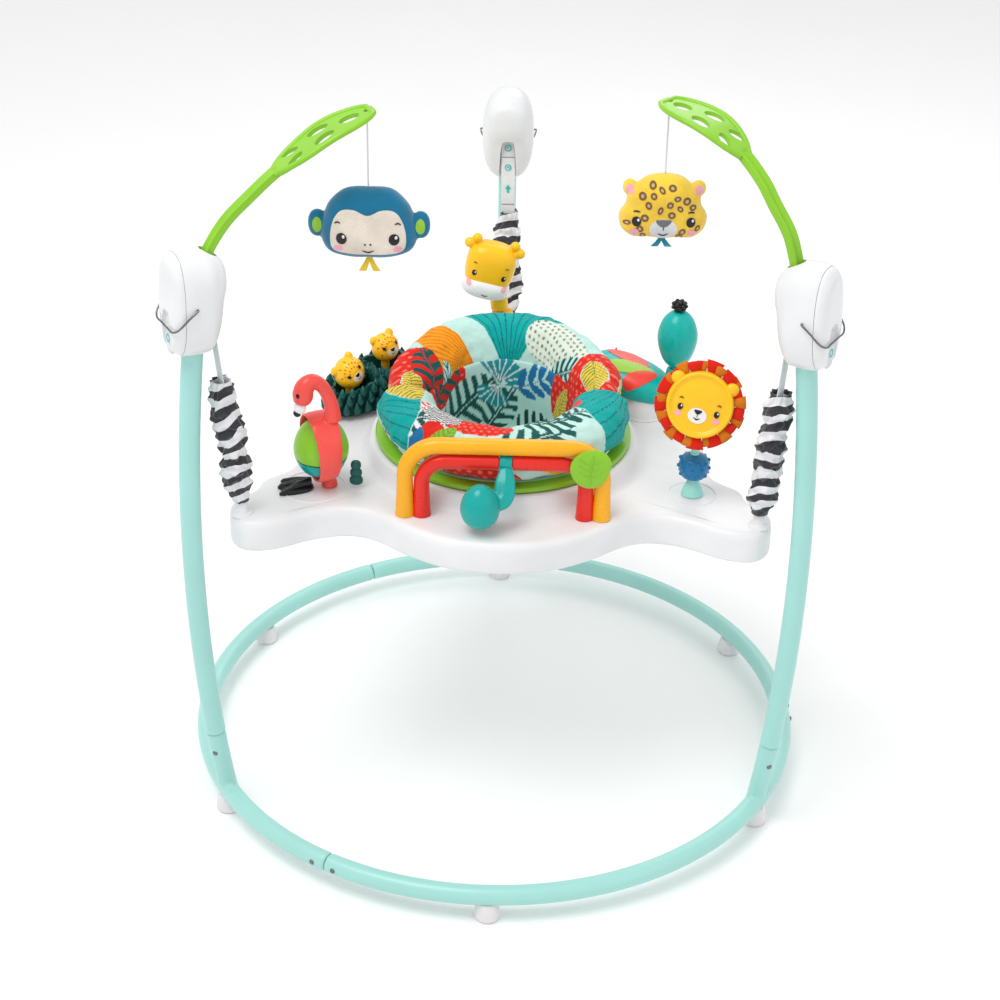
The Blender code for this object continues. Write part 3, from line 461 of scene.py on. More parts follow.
def blob(name, centre, half, turn=None, power=2.0, rows=28, count=44, shape=None):
    """A rounded solid with half sizes (x, y, z). Power above 2 squares it off. Shape moves a point on the unit ball."""
    verts, faces = [], []
    for i in range(rows + 1):
        b = pi * (i / rows - 0.5)
        for j in range(count):
            a = tau * j / count
            p = Vector((cos(b) * cos(a), cos(b) * sin(a), sin(b)))
            if power != 2.0:
                size = (abs(p.x) ** power + abs(p.y) ** power + abs(p.z) ** power) ** (1 / power)
                p /= max(size, 1e-6)
            if shape:
                p = shape(p)
            p = Vector((p.x * half[0], p.y * half[1], p.z * half[2]))
            verts.append(Vector(centre) + (turn @ p if turn else p))
    for i in range(rows):
        for j in range(count):
            k = (j + 1) % count
            faces.append((i * count + j, i * count + k, (i + 1) * count + k, (i + 1) * count + j))
    mesh = new_mesh(name, verts, faces)
    bm = bmesh.new()
    bm.from_mesh(mesh)
    bmesh.ops.remove_doubles(bm, verts=bm.verts, dist=1e-6)
    bmesh.ops.recalc_face_normals(bm, faces=bm.faces)
    bm.to_mesh(mesh)
    bm.free()
    return mesh


def added(name, data):
    """A new object in the scene."""
    obj = bpy.data.objects.new(name, data)
    bpy.context.scene.collection.objects.link(obj)
    return obj


def settled(obj):
    """The mesh an object's modifiers leave."""
    bpy.context.view_layer.update()
    return bpy.data.meshes.new_from_object(obj.evaluated_get(bpy.context.evaluated_depsgraph_get()))


def merged(name, meshes):
    bm = bmesh.new()
    for mesh in meshes:
        bm.from_mesh(mesh)
    made = bpy.data.meshes.new(name)
    bm.to_mesh(made)
    bm.free()
    return made


def boolean(base, tools, operation="DIFFERENCE"):
    """The mesh left by cutting the tools from base, or joining them to it."""
    body = added("work", base)
    helpers = [added("tool", tool) for tool in tools]
    for helper in helpers:
        step = body.modifiers.new("step", "BOOLEAN")
        step.operation = operation
        step.solver = "EXACT"
        step.object = helper
    mesh = settled(body)
    for obj in [body, *helpers]:
        bpy.data.objects.remove(obj)
    return mesh


def remeshed(mesh, voxel, relax=4):
    """Joined or rough shapes as one smooth skin."""
    obj = added("work", mesh)
    step = obj.modifiers.new("skin", "REMESH")
    step.mode = "VOXEL"
    step.voxel_size = voxel
    step = obj.modifiers.new("relax", "SMOOTH")
    step.iterations = relax
    step.factor = 0.5
    made = settled(obj)
    bpy.data.objects.remove(obj)
    return made


def put(name, mesh, paint, body, nodes=(), place=None, sharp=40):
    """A finished piece on its body."""
    if place is not None:
        mesh.transform(place)
    mesh.materials.clear()
    mesh.materials.append(PAINTS[paint])
    mesh.shade_smooth()
    if sharp:
        mesh.set_sharp_from_angle(angle=radians(sharp))
    obj = added(name, mesh)
    mesh.transform(Matrix.Translation(ORIGIN))
    if isinstance(body, str):
        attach(obj, body)
    if nodes:
        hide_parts(*nodes)
    return obj


def spin(side):
    return Matrix.Rotation(radians(SIDES[side]), 4, "Z")


def tower_place(side):
    """Takes a tower's piece, drawn upright about the middle of its housing, to its leaning place."""
    upright = Matrix.Translation((TOWER_R, 0, TOWER_Z)) @ Matrix.Rotation(-TOWER_LEAN, 4, "Y")
    return spin(side) @ upright


def slanted(side):
    """Turns a hung piece to its side, leaning with the tray, which hangs HUNG_X to the right."""
    slant = Matrix.Identity(4)
    slant[0][2] = -HUNG_X / (HANG_TOP - STRAP_HEIGHT)
    slant[0][3] = -slant[0][2] * HANG_TOP
    return slant @ spin(side)


def hang(z):
    """The line a strap and its spring hang on, before it is turned to its side."""
    return Vector((STRAP_REACH + STRAP_SLOPE * (z - STRAP_HEIGHT), 0, z))


def decal(name, paint, body, outlines, plane, target, lift=0.0004, rings=4):
    """Thin shapes laid on a surface. Each outline is points (x, z) in the plane (centre, right, up, facing)."""
    centre, right, up, facing = (Vector(v) for v in plane)
    verts, faces = [], []
    for outline in outlines:
        middle = Vector((sum(p[0] for p in outline) / len(outline), sum(p[1] for p in outline) / len(outline)))
        start, count = len(verts), len(outline)
        flat = [middle]
        for ring in range(1, rings + 1):
            flat += [middle.lerp(Vector(p), ring / rings) for p in outline]
        for p in flat:
            origin = centre + right * p.x + up * p.y + facing * 0.2
            hit = target.ray_cast(origin, -facing)[0]
            verts.append((hit + facing * lift) if hit else centre + right * p.x + up * p.y)
        for i in range(count):
            faces.append((start, start + 1 + i, start + 1 + (i + 1) % count))
        for ring in range(rings - 1):
            a, b = start + 1 + ring * count, start + 1 + (ring + 1) * count
            for i in range(count):
                j = (i + 1) % count
                faces.append((a + i, b + i, b + j, a + j))
    mesh = bpy.data.meshes.new(name)
    mesh.from_pydata([tuple(v) for v in verts], [], faces)
    solid = bmesh.new()
    solid.from_mesh(mesh)
    for face in solid.faces:
        face.normal_update()
        if face.normal.dot(facing) < 0:
            face.normal_flip()
    made = bmesh.ops.extrude_face_region(solid, geom=solid.faces[:])
    moved = [g for g in made["geom"] if isinstance(g, bmesh.types.BMVert)]
    bmesh.ops.translate(solid, verts=moved, vec=-facing * (lift + 0.0006))
    bmesh.ops.recalc_face_normals(solid, faces=solid.faces)
    solid.to_mesh(mesh)
    solid.free()
    return put(name, mesh, paint, body)


def oval(x, z, a, b, turn=0.0, count=28):
    turn = radians(turn)
    points = []
    for t in around(count):
        u, v = a * cos(t), b * sin(t)
        points.append((x + u * cos(turn) - v * sin(turn), z + u * sin(turn) + v * cos(turn)))
    return points


def stroke(points, width):
    """The outline of a line with rounded ends, through (x, z) points."""
    path = smooth([(x, z, 0) for x, z in points], 12)
    left, right = [], []
    for i, p in enumerate(path):
        ahead = (path[min(i + 1, 12)] - path[max(i - 1, 0)]).normalized()
        share = sqrt(max(0.05, 1 - (2 * i / 12 - 1) ** 4))
        normal = Vector((-ahead.y, ahead.x, 0)) * (width / 2 * share)
        left.append((p.x + normal.x, p.y + normal.y))
        right.append((p.x - normal.x, p.y - normal.y))
    return left + right[::-1]


def surface(mesh):
    """A mesh as a target that decals can be cast on."""
    return BVHTree.FromPolygons([v.co.copy() for v in mesh.vertices], [tuple(p.vertices) for p in mesh.polygons])


# ---------------------------------------------------------------- base, legs and towers


def leg_point(z):
    return Vector((LEG_REACH - LEG_BOW * (z - LEG_BOW_Z) ** 2, 0, z))


def ring_point(degree, z=RING_Z):
    return Vector((RING * cos(radians(degree)), RING * sin(radians(degree)), z))


def base():
    """Tube arcs with a rounded end at each joint, and the stubs that carry the legs."""
    for side, azimuth in SIDES.items():
        first = azimuth + 30 - 119.93
        turns = [first + 119.86 * i / 72 for i in range(73)]
        points = [ring_point(turns[0] - 0.02)] + [ring_point(t) for t in turns] + [ring_point(turns[-1] + 0.02)]
        radii = [TUBE_END] + [TUBE] * 73 + [TUBE_END]
        rings = []
        for p, r in zip(points, radii):
            out = Vector((p.x, p.y, 0)).normalized()
            rings.append(circle(p, out, Vector((0, 0, 1)), r, 28))
        arc = loft("arc", rings)
        heights = [RING_Z + 0.002] + [0.05 + 0.0795 * i / 10 for i in range(11)] + [STUB_TOP]
        stub = tube("stub", [leg_point(z) for z in heights], [TUBE - 0.0002] * 12 + [TUBE_END], 28)
        stub.transform(spin(side))
        skin = remeshed(merged("base", [arc, stub]), 0.0024, 6)
        put(f"base_arc_{side}", skin, "tube", "frame", [f"base_tube_{side}"], sharp=0)
        heights = [STUB_TOP + 0.0003] + [STUB_TOP + 0.0012 + 0.568 * i / 60 for i in range(61)]
        leg = tube("leg", [leg_point(z) for z in heights], [TUBE_END] + [TUBE] * 61, 32)
        put(f"leg_{side}", leg, "tube", "frame", [f"leg_tube_{side}"], spin(side))


def snap_buttons():
    """Small steel spring buttons that lock the tube joints, and the screw heads beside them."""
    domes, spots = [], []
    for side, azimuth in SIDES.items():
        joint = azimuth + 30
        for turn in (-2.4, 2.0):
            out = Vector((cos(radians(joint + turn)), sin(radians(joint + turn)), 0))
            spots.append((out * (RING + TUBE - 0.0006) + Vector((0, 0, RING_Z + 0.001)), out))
        out = Vector((cos(radians(azimuth)), sin(radians(azimuth)), 0))
        front = Vector((0, -1, 0)) if side != "back" else out
        aim = (out * 0.45 + front * 0.9).normalized()
        spots.append((spin(side) @ leg_point(STUB_TOP - 0.030) + aim * (TUBE - 0.0006), aim))
    for place, out in spots:
        profile = [(0.0034, -0.001), (0.0034, 0.0006), (0.0027, 0.0016), (0.0014, 0.0021), (0.0001, 0.0022)]
        domes.append(lathe("dome", profile, place, out, 20))
    put("snap_buttons", merged("snap_buttons", domes), "wire", "frame")


def feet():
    profile = rounded([(0.0001, 0.0), (0.012, 0.0), (0.0150, 0.0015), (0.0162, 0.006), (0.0155, 0.012)], 16)
    profile += rounded([(0.0155, 0.012), (0.0140, 0.019), (0.0118, 0.024), (0.0100, 0.0250)], 10)[1:]
    for i in range(6):
        t = radians(30 + 60 * i)
        mesh = lathe("foot", profile, (RING * cos(t), RING * sin(t), 0), count=40)
        put(f"floor_foot_{i + 1}", mesh, "foot", "frame", [f"foot_{i + 1}"])


def stadium(x, half_width, top, bottom, count=56, power=2.5):
    """A squared oval in the plane at x."""
    middle, half = (top + bottom) / 2, (top - bottom) / 2
    return [(x, half_width * squared(cos(t), 2 / power), middle + half * squared(sin(t), 2 / power))
            for t in around(count)]


def stadium_loft(layers, steps):
    """Smoothly joins a few ovals given as (x, half width, top, bottom)."""
    columns = [smooth_list([layer[k] for layer in layers], steps) for k in range(4)]
    return [stadium(*values) for values in zip(*columns)]


def towers():
    housing = [
        (0.0180, 0.0345, 0.0625, -0.0615), (0.0080, 0.0362, 0.0640, -0.0630), (-0.0080, 0.0362, 0.0640, -0.0625),
        (-0.0180, 0.0345, 0.0620, -0.0595), (-0.0262, 0.0300, 0.0575, -0.0430), (-0.0315, 0.0258, 0.0525, -0.0080),
        (-0.0365, 0.0195, 0.0465, 0.0045), (-0.0388, 0.0090, 0.0370, 0.0150), (-0.0392, 0.0010, 0.0290, 0.0240),
    ]
    cover = [
        (0.0184, 0.0338, 0.0615, -0.0605), (0.0225, 0.0330, 0.0600, -0.0592), (0.0270, 0.0290, 0.0550, -0.0545),
        (0.0298, 0.0215, 0.0470, -0.0470), (0.0303, 0.0020, 0.0100, -0.0100),
    ]
    for side in SIDES:
        shell = loft("shell", stadium_loft(housing, 40))
        channel = tube("channel", [(-0.0235, 0, -0.090), (-0.0235, 0, -0.002), (-0.0235, 0, 0.0015)],
                       [0.0125, 0.0125, 0.0095], 24)
        channel.transform(Matrix.Diagonal((1.0, 0.95, 1.0, 1.0)))
        tools = [channel]
        if side in ARMS:
            heading, curve = ARMS[side]
            azimuth = radians(SIDES[side])
            foot = Vector((ARM_FOOT * cos(azimuth), ARM_FOOT * sin(azimuth), 0))
            path = [foot + Vector((s * cos(heading), s * sin(heading), z)) for s, z in curve[:4]]
            pocket = tube("pocket", path, [0.0105, 0.0115, 0.0125, 0.0130], 20)
            pocket.transform(tower_place(side).inverted())
            tools.append(pocket)
        shell = boolean(shell, tools)
        put(f"tower_shell_{side}", shell, "shell", "frame", [f"tower_housing_{side}"], tower_place(side), 28)
        back = loft("back", stadium_loft(cover, 24))
        recess = blob("recess", (0.0330, 0, -0.034), (0.0095, 0.0125, 0.0290), power=3.5, rows=24, count=36)
        back = boolean(back, [recess])
        put(f"tower_back_{side}", back, "shell", "frame", [f"tower_cover_{side}"], tower_place(side), 28)
        tail = blob("tail", (0.0255, 0, -0.036), (0.0030, 0.0100, 0.0230), power=4.0, rows=16, count=28)
        put(f"strap_tail_{side}", tail, "webbing", "frame", place=tower_place(side))
        oval_mark = lathe("mark", [(0.0052, 0.0), (0.0052, 0.0006), (0.0032, 0.0006), (0.0032, 0.0)],
                          (0.0283, 0, -0.040), (1, 0, 0), 32, looped=True)
        put(f"tail_mark_{side}", oval_mark, "mark", "frame", place=tower_place(side))
        clip(side)
        strap(side)


def clip(side):
    """The wire bail that locks the strap's height, hooked over the recess in the rear cover."""
    w = 0.0387
    path = smooth([
        (0.006, -w + 0.004, 0.004), (0.006, -w, 0.004), (0.016, -w, -0.004), (0.0275, -w + 0.004, -0.017),
        (0.0322, -w + 0.014, -0.023), (0.0322, -0.010, -0.0235), (0.0322, 0.010, -0.0235),
        (0.0322, w - 0.014, -0.023), (0.0275, w - 0.004, -0.017), (0.016, w, -0.004), (0.006, w, 0.004),
        (0.006, w - 0.004, 0.004),
    ], 66)
    mesh = tube("clip", path, 0.0012, 12)
    put(f"clip_wire_{side}", mesh, "wire", f"clip_{side}", [f"height_clip_{side}"], tower_place(side))


def strap(side):
    """A webbing strap with a hem line and three height marks."""
    rings = []
    for i in range(40):
        z = STRAP_FOOT + (HANG_TOP - STRAP_FOOT) * i / 39
        p = hang(z)
        edge = []
        for t in around(20):
            thick = 0.00075 + 0.00006 * sin(z * 9000 + 3 * cos(t))
            edge.append(Vector((p.x + thick * squared(sin(t), 0.4), 0.0095 * squared(cos(t), 0.4), z)))
        rings.append(edge)
    put(f"strap_web_{side}", loft("strap", rings), "webbing", "suspension", [f"strap_{side}"], slanted(side))
    shapes, lines = [], []
    for number, z in enumerate((0.7135, 0.6860, 0.6555)):
        x = hang(z).x - 0.0012
        ring = lathe("ring", [(0.0048, 0.0), (0.0048, 0.0004), (0.0034, 0.0004), (0.0034, 0.0)],
                     (x, 0, z), (-1, 0, 0), 28, looped=True)
        if number < 2:
            bar = tube("bar", [(x - 0.0002, -0.0014 * (1 + number), z - 0.0008), (x - 0.0002, 0.0016, z + 0.0010)],
                       0.0006, 8)
            shapes += [ring, bar]
        else:
            for name, corners in (
                ("head", ((-0.0042, 0), (0.0042, 0), (0.0, 0.0062))),
                ("stem", ((-0.0018, -0.006), (0.0018, -0.006), (0.0018, 0.0004), (-0.0018, 0.0004))),
            ):
                shapes.append(loft(name, [[(x + d, a, z + b) for a, b in corners] for d in (0, -0.0004)]))
    for z in (0.7005, 0.6330):
        x = hang(z).x - 0.0009
        lines.append(tube("line", [(x, -0.0092, z), (x, 0.0092, z)], 0.0005, 8))
    put(f"strap_marks_{side}", merged("marks", shapes), "mark", "suspension", place=slanted(side))
    put(f"strap_hems_{side}", merged("hems", lines), "stitch_grey", "suspension", place=slanted(side))


def sleeve(side, seed):
    """A gathered tube of printed cloth round the spring, ruched to shorter than it was cut."""
    top, bottom = 0.6225, 0.4585
    girth, widest, inside = 0.0168, 0.0212, 0.0102
    rings = []
    rows, count = 150, 84
    for i in range(rows + 1):
        share = i / rows
        z = bottom + (top - bottom) * share
        p = hang(z)
        ends = min(share, 1 - share)
        body = girth * min(1.0, 0.56 + 3.4 * ends) + 0.0012 * sin(share * 17 + seed)
        if share > 0.955:
            body = girth * 0.70
        ring = []
        for t in around(count):
            spot = Vector((cos(t) * 1.3, sin(t) * 1.3, share * 7.5 + seed * 3))
            fold = noise.noise(spot) * 0.0050 + noise.noise(spot * 2.6) * 0.0022
            ruche = 0.0016 * sin(share * 62 + 2.4 * sin(t + seed) + 5 * noise.noise(spot * 0.8))
            gather = 0.0012 * cos(9 * t + seed) * max(0.0, 1 - 7 * ends)
            r = min(body + (fold + ruche) * min(1.0, 0.3 + 6 * ends) + gather, widest)
            sway = 0.0022 * sin(share * 9 + seed)
            ring.append(Vector((p.x + r * cos(t), r * sin(t) + sway, z + 0.0018 * noise.noise(spot * 1.7))))
        rings.append(ring)
    inner = []
    for i in (rows, rows - 6, rows // 2, 6, 0):
        share = i / rows
        z = bottom + (top - bottom) * share
        sway = 0.0022 * sin(share * 9 + seed)
        inner.append([Vector((hang(z).x + inside * cos(t), inside * sin(t) + sway, z)) for t in around(count)])
    mesh = loft("sleeve", rings + inner, looped=True)
    obj = put(f"zebra_sleeve_{side}", mesh, "zebra", None, [f"spring_cover_{side}"], slanted(side), 0)
    start, end = (slanted(side) @ hang(z) + ORIGIN for z in (0.612, 0.470))
    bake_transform(obj)
    turns, reach = 11, 0.0082
    coil = [hang(0.472 + 0.140 * i / (turns * 16)) + Vector((reach * cos(tau * i / 16), reach * sin(tau * i / 16), 0))
            for i in range(turns * 16 + 1)]
    spring = put(f"coil_{side}", tube("coil", coil, 0.0012, 8), "wire", None, [f"spring_{side}"],
                 slanted(side))
    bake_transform(spring)


# ---------------------------------------------------------------- leaf arms and hanging toys


def leaf_half_width(at):
    """Half the leaf's width at a share of its length."""
    at = min(1.0, max(0.0, at))
    return 0.0285 * sqrt(4 * at * (1 - at) ** 0.85)


def leaf_arm(side):
    """A ribbed stem that opens into a leaf with a raised rim, veins and five oval windows."""
    heading, curve = ARMS[side]
    steps = 90
    path = smooth([(x, 0, z) for x, z in curve], steps)
    neck, tip = 0.084, path[-1].x
    spine = []
    for i, point in enumerate(path):
        ahead = (path[min(i + 1, steps)] - path[max(i - 1, 0)]).normalized()
        spine.append((point, ahead, Vector((-ahead.z, 0, ahead.x))))

    def at_share(share):
        along = neck + (tip - neck) * share
        return min(spine, key=lambda step: abs(step[0].x - along))

    rings = []
    for point, ahead, up in spine:
        share = (point.x - neck) / (tip - neck)
        wide = max(0.0082, leaf_half_width(share)) if share > 0 else 0.0082
        blend_in = min(1.0, max(0.0, share * 6))
        thick = 0.0052 * (1 - blend_in) + 0.0026 * blend_in
        if share > 0.97:
            wide = max(wide, 0.0075)
        ring = []
        for t in around(28):
            y = wide * squared(cos(t), 0.35)
            z = thick * squared(sin(t), 0.45)
            if share <= 0.05 and sin(t) > 0.2 and abs(y) < 0.0022:
                z -= 0.0026
            ring.append(point + Vector((0, y, 0)) + up * z)
        rings.append(ring)
    blade = loft("blade", rings)
    windows = []
    for share, across, long, wide, lean in (
        (0.19, 0.0118, 0.0120, 0.0062, -24), (0.19, -0.0118, 0.0120, 0.0062, 24),
        (0.49, 0.0128, 0.0135, 0.0078, -8), (0.49, -0.0128, 0.0135, 0.0078, 8), (0.77, 0.0, 0.0125, 0.0088, 0),
    ):
        middle, ahead, up = at_share(share)
        turn = radians(lean)
        outline = []
        for t in around(32):
            a, b = long * cos(t), wide * sin(t)
            sideways = Vector((0, across + a * sin(turn) + b * cos(turn), 0))
            outline.append(middle + ahead * (a * cos(turn) - b * sin(turn)) + sideways)
        windows.append(loft("window", [[p - up * 0.02 for p in outline], [p + up * 0.02 for p in outline]]))
    hole_z = curve[-2][1] + (curve[-1][1] - curve[-2][1]) * (STRING_AT - curve[-2][0]) / (curve[-1][0] - curve[-2][0])
    windows.append(tube("hole", [(STRING_AT, 0, hole_z - 0.02), (STRING_AT, 0, hole_z + 0.02)], 0.0038, 24))
    blade = boolean(blade, windows)
    edge = []
    for sign in (1, -1):
        row = []
        for point, ahead, up in spine:
            share = (point.x - neck) / (tip - neck)
            if share >= 0.0:
                row.append(point + Vector((0, sign * max(0.0075, leaf_half_width(share) - 0.0015), 0)) + up * 0.0012)
        edge.append(row)
    rim = tube("rim", edge[0][:-1] + edge[1][-2::-1], 0.0034, 14)
    ribs = []
    for sign in (1, -1):
        row = [point + Vector((0, sign * 0.0064, 0)) + up * 0.0030
               for point, _, up in spine if point.x <= neck + 0.008]
        ribs.append(tube("rib", row, 0.0021, 12))
    teeth = []
    for i in range(2, steps):
        point, ahead, up = spine[i]
        if point.x < neck + 0.004 and i % 2 == 0:
            a = point + up * 0.0022
            teeth.append(tube("tooth", [a + Vector((0, -0.0012, 0)), a + Vector((0, 0.0012, 0))], 0.0008, 6))
    mesh = merged("arm", [blade, rim, *ribs, *teeth])
    azimuth = radians(SIDES[side])
    foot = Vector((ARM_FOOT * cos(azimuth), ARM_FOOT * sin(azimuth), 0))
    place = Matrix.Translation(foot) @ Matrix.Rotation(heading, 4, "Z")
    put(f"leaf_{side}", mesh, "lime", "frame", [f"leaf_arm_{side}"], place, 35)
    return place @ Vector((STRING_AT, 0, hole_z))


def plush_outline(points, count=160):
    """A closed smooth outline through a few (x, z) points."""
    per = 60
    closed = points + points[:3]
    path = smooth([(x, 0, z) for x, z in [points[-1]] + closed], per * len(closed))
    usable = path[per : per * (len(points) + 1)]
    return [usable[int(i * len(usable) / count)] for i in range(count)]


def flat(points, count):
    """A smooth closed outline through (x, z) points, as (x, z) points."""
    return [(p.x, p.z) for p in plush_outline(points, count)]


def mirrored(points):
    """An outline's right side from top to bottom, then its left side back up."""
    return points + [(-x, z) for x, z in points[-2:0:-1]]


def pair(x, z, a, b, shift=0.0):
    """Two ovals, one on each side of a face's middle."""
    return [oval(side * x + shift, z, a, b) for side in (-1, 1)]


def brows(points, width):
    """Two strokes, one on each side of a face's middle."""
    return [stroke([(side * x, z) for x, z in points], width) for side in (-1, 1)]


def mouth(points, width):
    return stroke(points + [(-x, z) for x, z in points[-2::-1]], width)


def marks(name, body, plane, target, rows):
    """The decals of one face, each as (name's end, paint, outlines, lift and rings where they differ)."""
    for end, paint, outlines, *rest in rows:
        decal(f"{name}_{end}", paint, body, outlines, plane, target, *rest)


def pillow(name, outline, depth, squeeze=0.55, layers=12):
    """A stuffed flat shape: two faces that meet at the outline's seam and swell between."""
    middle = sum((Vector(p) for p in outline), Vector()) / len(outline)
    rings = []
    for i in range(layers * 2 + 1):
        t = pi * i / (layers * 2)
        share = max(0.02, sin(t)) ** squeeze
        depth_here = -depth * cos(t)
        rings.append([middle + (Vector(p) - middle) * share + Vector((0, depth_here, 0)) for p in outline])
    return loft(name, rings)


def hanging_string(name, top, foot_z):
    """A straight thin cord, held taut by the toy it carries."""
    foot = Vector((top.x, top.y, foot_z))
    curve = bpy.data.curves.new(f"{name}_cord", "CURVE")
    curve.dimensions = "3D"
    curve.bevel_depth = 0.0010
    curve.bevel_resolution = 4
    curve.use_fill_caps = True
    line = curve.splines.new("POLY")
    steps = 20
    line.points.add(steps)
    for i in range(steps + 1):
        line.points[i].co = (*(top.lerp(foot, i / steps) + ORIGIN), 1)
    curve.materials.append(PAINTS["thread"])
    obj = added(f"{name}_cord", curve)
    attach(obj, name)
    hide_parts(f"{name}_string")


def ribbon_tails(name, paint, foot, length, spread=0.0085):
    parts = []
    for sign in (-1, 1):
        rings = []
        for i in range(12):
            share = i / 11
            p = foot + Vector((sign * spread * share, -0.001 - 0.002 * sin(share * 3), -length * share))
            half = 0.0024 + 0.0022 * share
            rings.append([p + Vector((a, b, 0)) for a, b in ((-half, 0), (0, -0.0007), (half, 0), (0, 0.0007))])
        parts.append(loft("tail", rings))
    put(f"{name}_ribbon", merged("ribbon", parts), paint, name, sharp=60)


def soft_head(name, centre, skull, ear_at, ear_size, paint):
    """A stuffed head with two ears. Gives what marks() needs to draw its face."""
    ears = [blob("ear", (side * ear_at[0], *ear_at[1:]), ear_size, power=2.2) for side in (-1, 1)]
    body = remeshed(merged(name, [skull, *ears]), 0.0016, 3)
    body.transform(Matrix.Translation(centre))
    target = surface(body)
    put(f"{name}_head", body, paint, name, [f"{name}_plush"], sharp=0)
    return name, name, (centre, (1, 0, 0), (0, 0, 1), (0, -1, 0)), target


def monkey(top):
    centre = Vector((top.x, top.y, 0.7945))
    skull = pillow("skull", plush_outline(mirrored([
        (0.0, 0.0432), (0.026, 0.0410), (0.045, 0.0260), (0.0535, 0.0050), (0.0560, -0.0160), (0.0480, -0.0330),
        (0.0260, -0.0405), (0.0, -0.0418),
    ])), 0.0225)
    for v in skull.vertices:
        v.co.z += 0.0006 * noise.noise(v.co * 60)
        v.co.y += 0.0012 * noise.noise(v.co * 45)
    face = flat(mirrored([
        (0.0, 0.0165), (0.016, 0.0225), (0.031, 0.0205), (0.0400, 0.0080), (0.0440, -0.0120), (0.0400, -0.0275),
        (0.0200, -0.0325), (0.0, -0.0330),
    ]), 96)
    lines = brows([(0.0315, 0.0065), (0.035, 0.0078), (0.0385, 0.0058)], 0.0013)
    lines += pair(0.0032, -0.0185, 0.0011, 0.0011)
    lines.append(mouth([(-0.0068, -0.0268), (0, -0.0298)], 0.0011))
    head = soft_head("monkey", centre, skull, (0.0600, 0.002, -0.0020), (0.0112, 0.0085, 0.0165), "fur_blue")
    marks(*head, [
        ("face", "fur_cream", [face], 0.0009, 10),
        ("ear_lining", "fur_lime", pair(0.0600, -0.002, 0.0055, 0.0095)),
        ("cheeks", "fur_pink", pair(0.0345, -0.0245, 0.0052, 0.0038), 0.0014),
        ("eyes", "stitch_dark", pair(0.0305, -0.0120, 0.0062, 0.0070), 0.0018),
        ("features", "stitch_dark", lines, 0.0018),
        ("glints", "stitch_white", pair(0.0305, -0.0092, 0.0016, 0.0020, 0.0024), 0.0024),
    ])
    hanging_string("monkey", top, 0.8383)
    ribbon_tails("monkey", "ribbon_yellow", centre + Vector((0, 0, -0.0410)), 0.0190)


def leopard(top):
    centre = Vector((top.x, top.y, 0.8010))
    skull = pillow("skull", plush_outline(mirrored([
        (0.0, 0.0418), (0.020, 0.0385), (0.033, 0.0290), (0.0420, 0.0200), (0.0450, 0.0040), (0.0520, -0.0080),
        (0.0495, -0.0240), (0.0360, -0.0350), (0.0170, -0.0355), (0.0, -0.0375),
    ])), 0.0215)
    for v in skull.vertices:
        v.co.y += 0.0014 * noise.noise(v.co * 42)
    spots = [
        (-0.026, 0.0195), (-0.013, 0.0205), (-0.0035, 0.0275), (-0.0145, 0.0325), (0.0085, 0.0300), (0.0150, 0.0180),
        (0.0260, 0.0150), (0.0065, 0.0105), (-0.0045, 0.0035), (0.0090, -0.0020), (-0.0185, 0.0090), (0.0185, 0.0060),
        (-0.0225, -0.0060), (0.0335, 0.0070), (-0.0430, -0.0140), (-0.0275, -0.0205), (0.0225, -0.0235),
        (0.0405, -0.0195), (0.0195, -0.0315), (-0.0235, -0.0300),
    ]
    rosettes, hearts = [], []
    for i, (x, z) in enumerate(spots):
        rosettes.append(oval(x, z, 0.0045 - 0.0007 * (i % 3), 0.0048 - 0.0006 * (i % 2), 20 * i))
        hearts.append(oval(x, z, 0.0019 - 0.0003 * (i % 3), 0.0021 - 0.0003 * (i % 2), 20 * i))
    nose = flat([(-0.0085, -0.0085), (0.0085, -0.0085), (0.0050, -0.0150), (0, -0.0170), (-0.0050, -0.0150)], 40)
    lines = brows([(0.0280, 0.0010), (0.0320, 0.0016), (0.0360, 0.0006)], 0.0014)
    lines += [stroke([(0, -0.0160), (0, -0.0190), (0, -0.0215)], 0.0010),
              mouth([(-0.0065, -0.0258), (0, -0.0292)], 0.0014)]
    head = soft_head("leopard", centre, skull, (0.0405, 0.001, 0.0245), (0.0085, 0.0075, 0.0095), "fur_gold")
    marks(*head, [
        ("ear_lining", "fur_pink", pair(0.0405, 0.0245, 0.0048, 0.0055)),
        ("muzzle", "fur_white", [oval(0, -0.0205, 0.0165, 0.0135)], 0.0008, 8),
        ("rosettes", "fur_spot", rosettes, 0.0007),
        ("rosette_hearts", "fur_sand", hearts, 0.0011),
        ("cheeks", "fur_pink", pair(0.0335, -0.0250, 0.0052, 0.0042), 0.0009),
        ("nose", "stitch_grey", [nose], 0.0013),
        ("eyes", "stitch_dark", pair(0.0320, -0.0110, 0.0054, 0.0062), 0.0012),
        ("features", "stitch_dark", lines, 0.0013),
        ("glints", "stitch_white", pair(0.0320, -0.0085, 0.0014, 0.0018, 0.0021), 0.0018),
    ])
    hanging_string("leopard", top, 0.8433)
    ribbon_tails("leopard", "ribbon_teal", centre + Vector((0, 0, -0.0365)), 0.0125)


# ---------------------------------------------------------------- tray and seat

# The right half of the tray's edge: degrees round from its front, and radius.
TRAY_EDGE = [
    (0, 0.2475), (14, 0.2455), (28, 0.2375), (40, 0.2330), (48, 0.2480), (52.3, 0.2870), (53.6, 0.3400),
    (56.5, 0.3720), (61, 0.3770), (66, 0.3630), (68.8, 0.3310), (72.7, 0.3160), (75, 0.2920), (77.5, 0.2760),
    (84, 0.2630), (100, 0.2660), (119, 0.2730), (134, 0.2710), (150, 0.2700), (161, 0.2750), (168, 0.3050),
    (172.5, 0.3600), (176, 0.3735), (180, 0.3750),
]


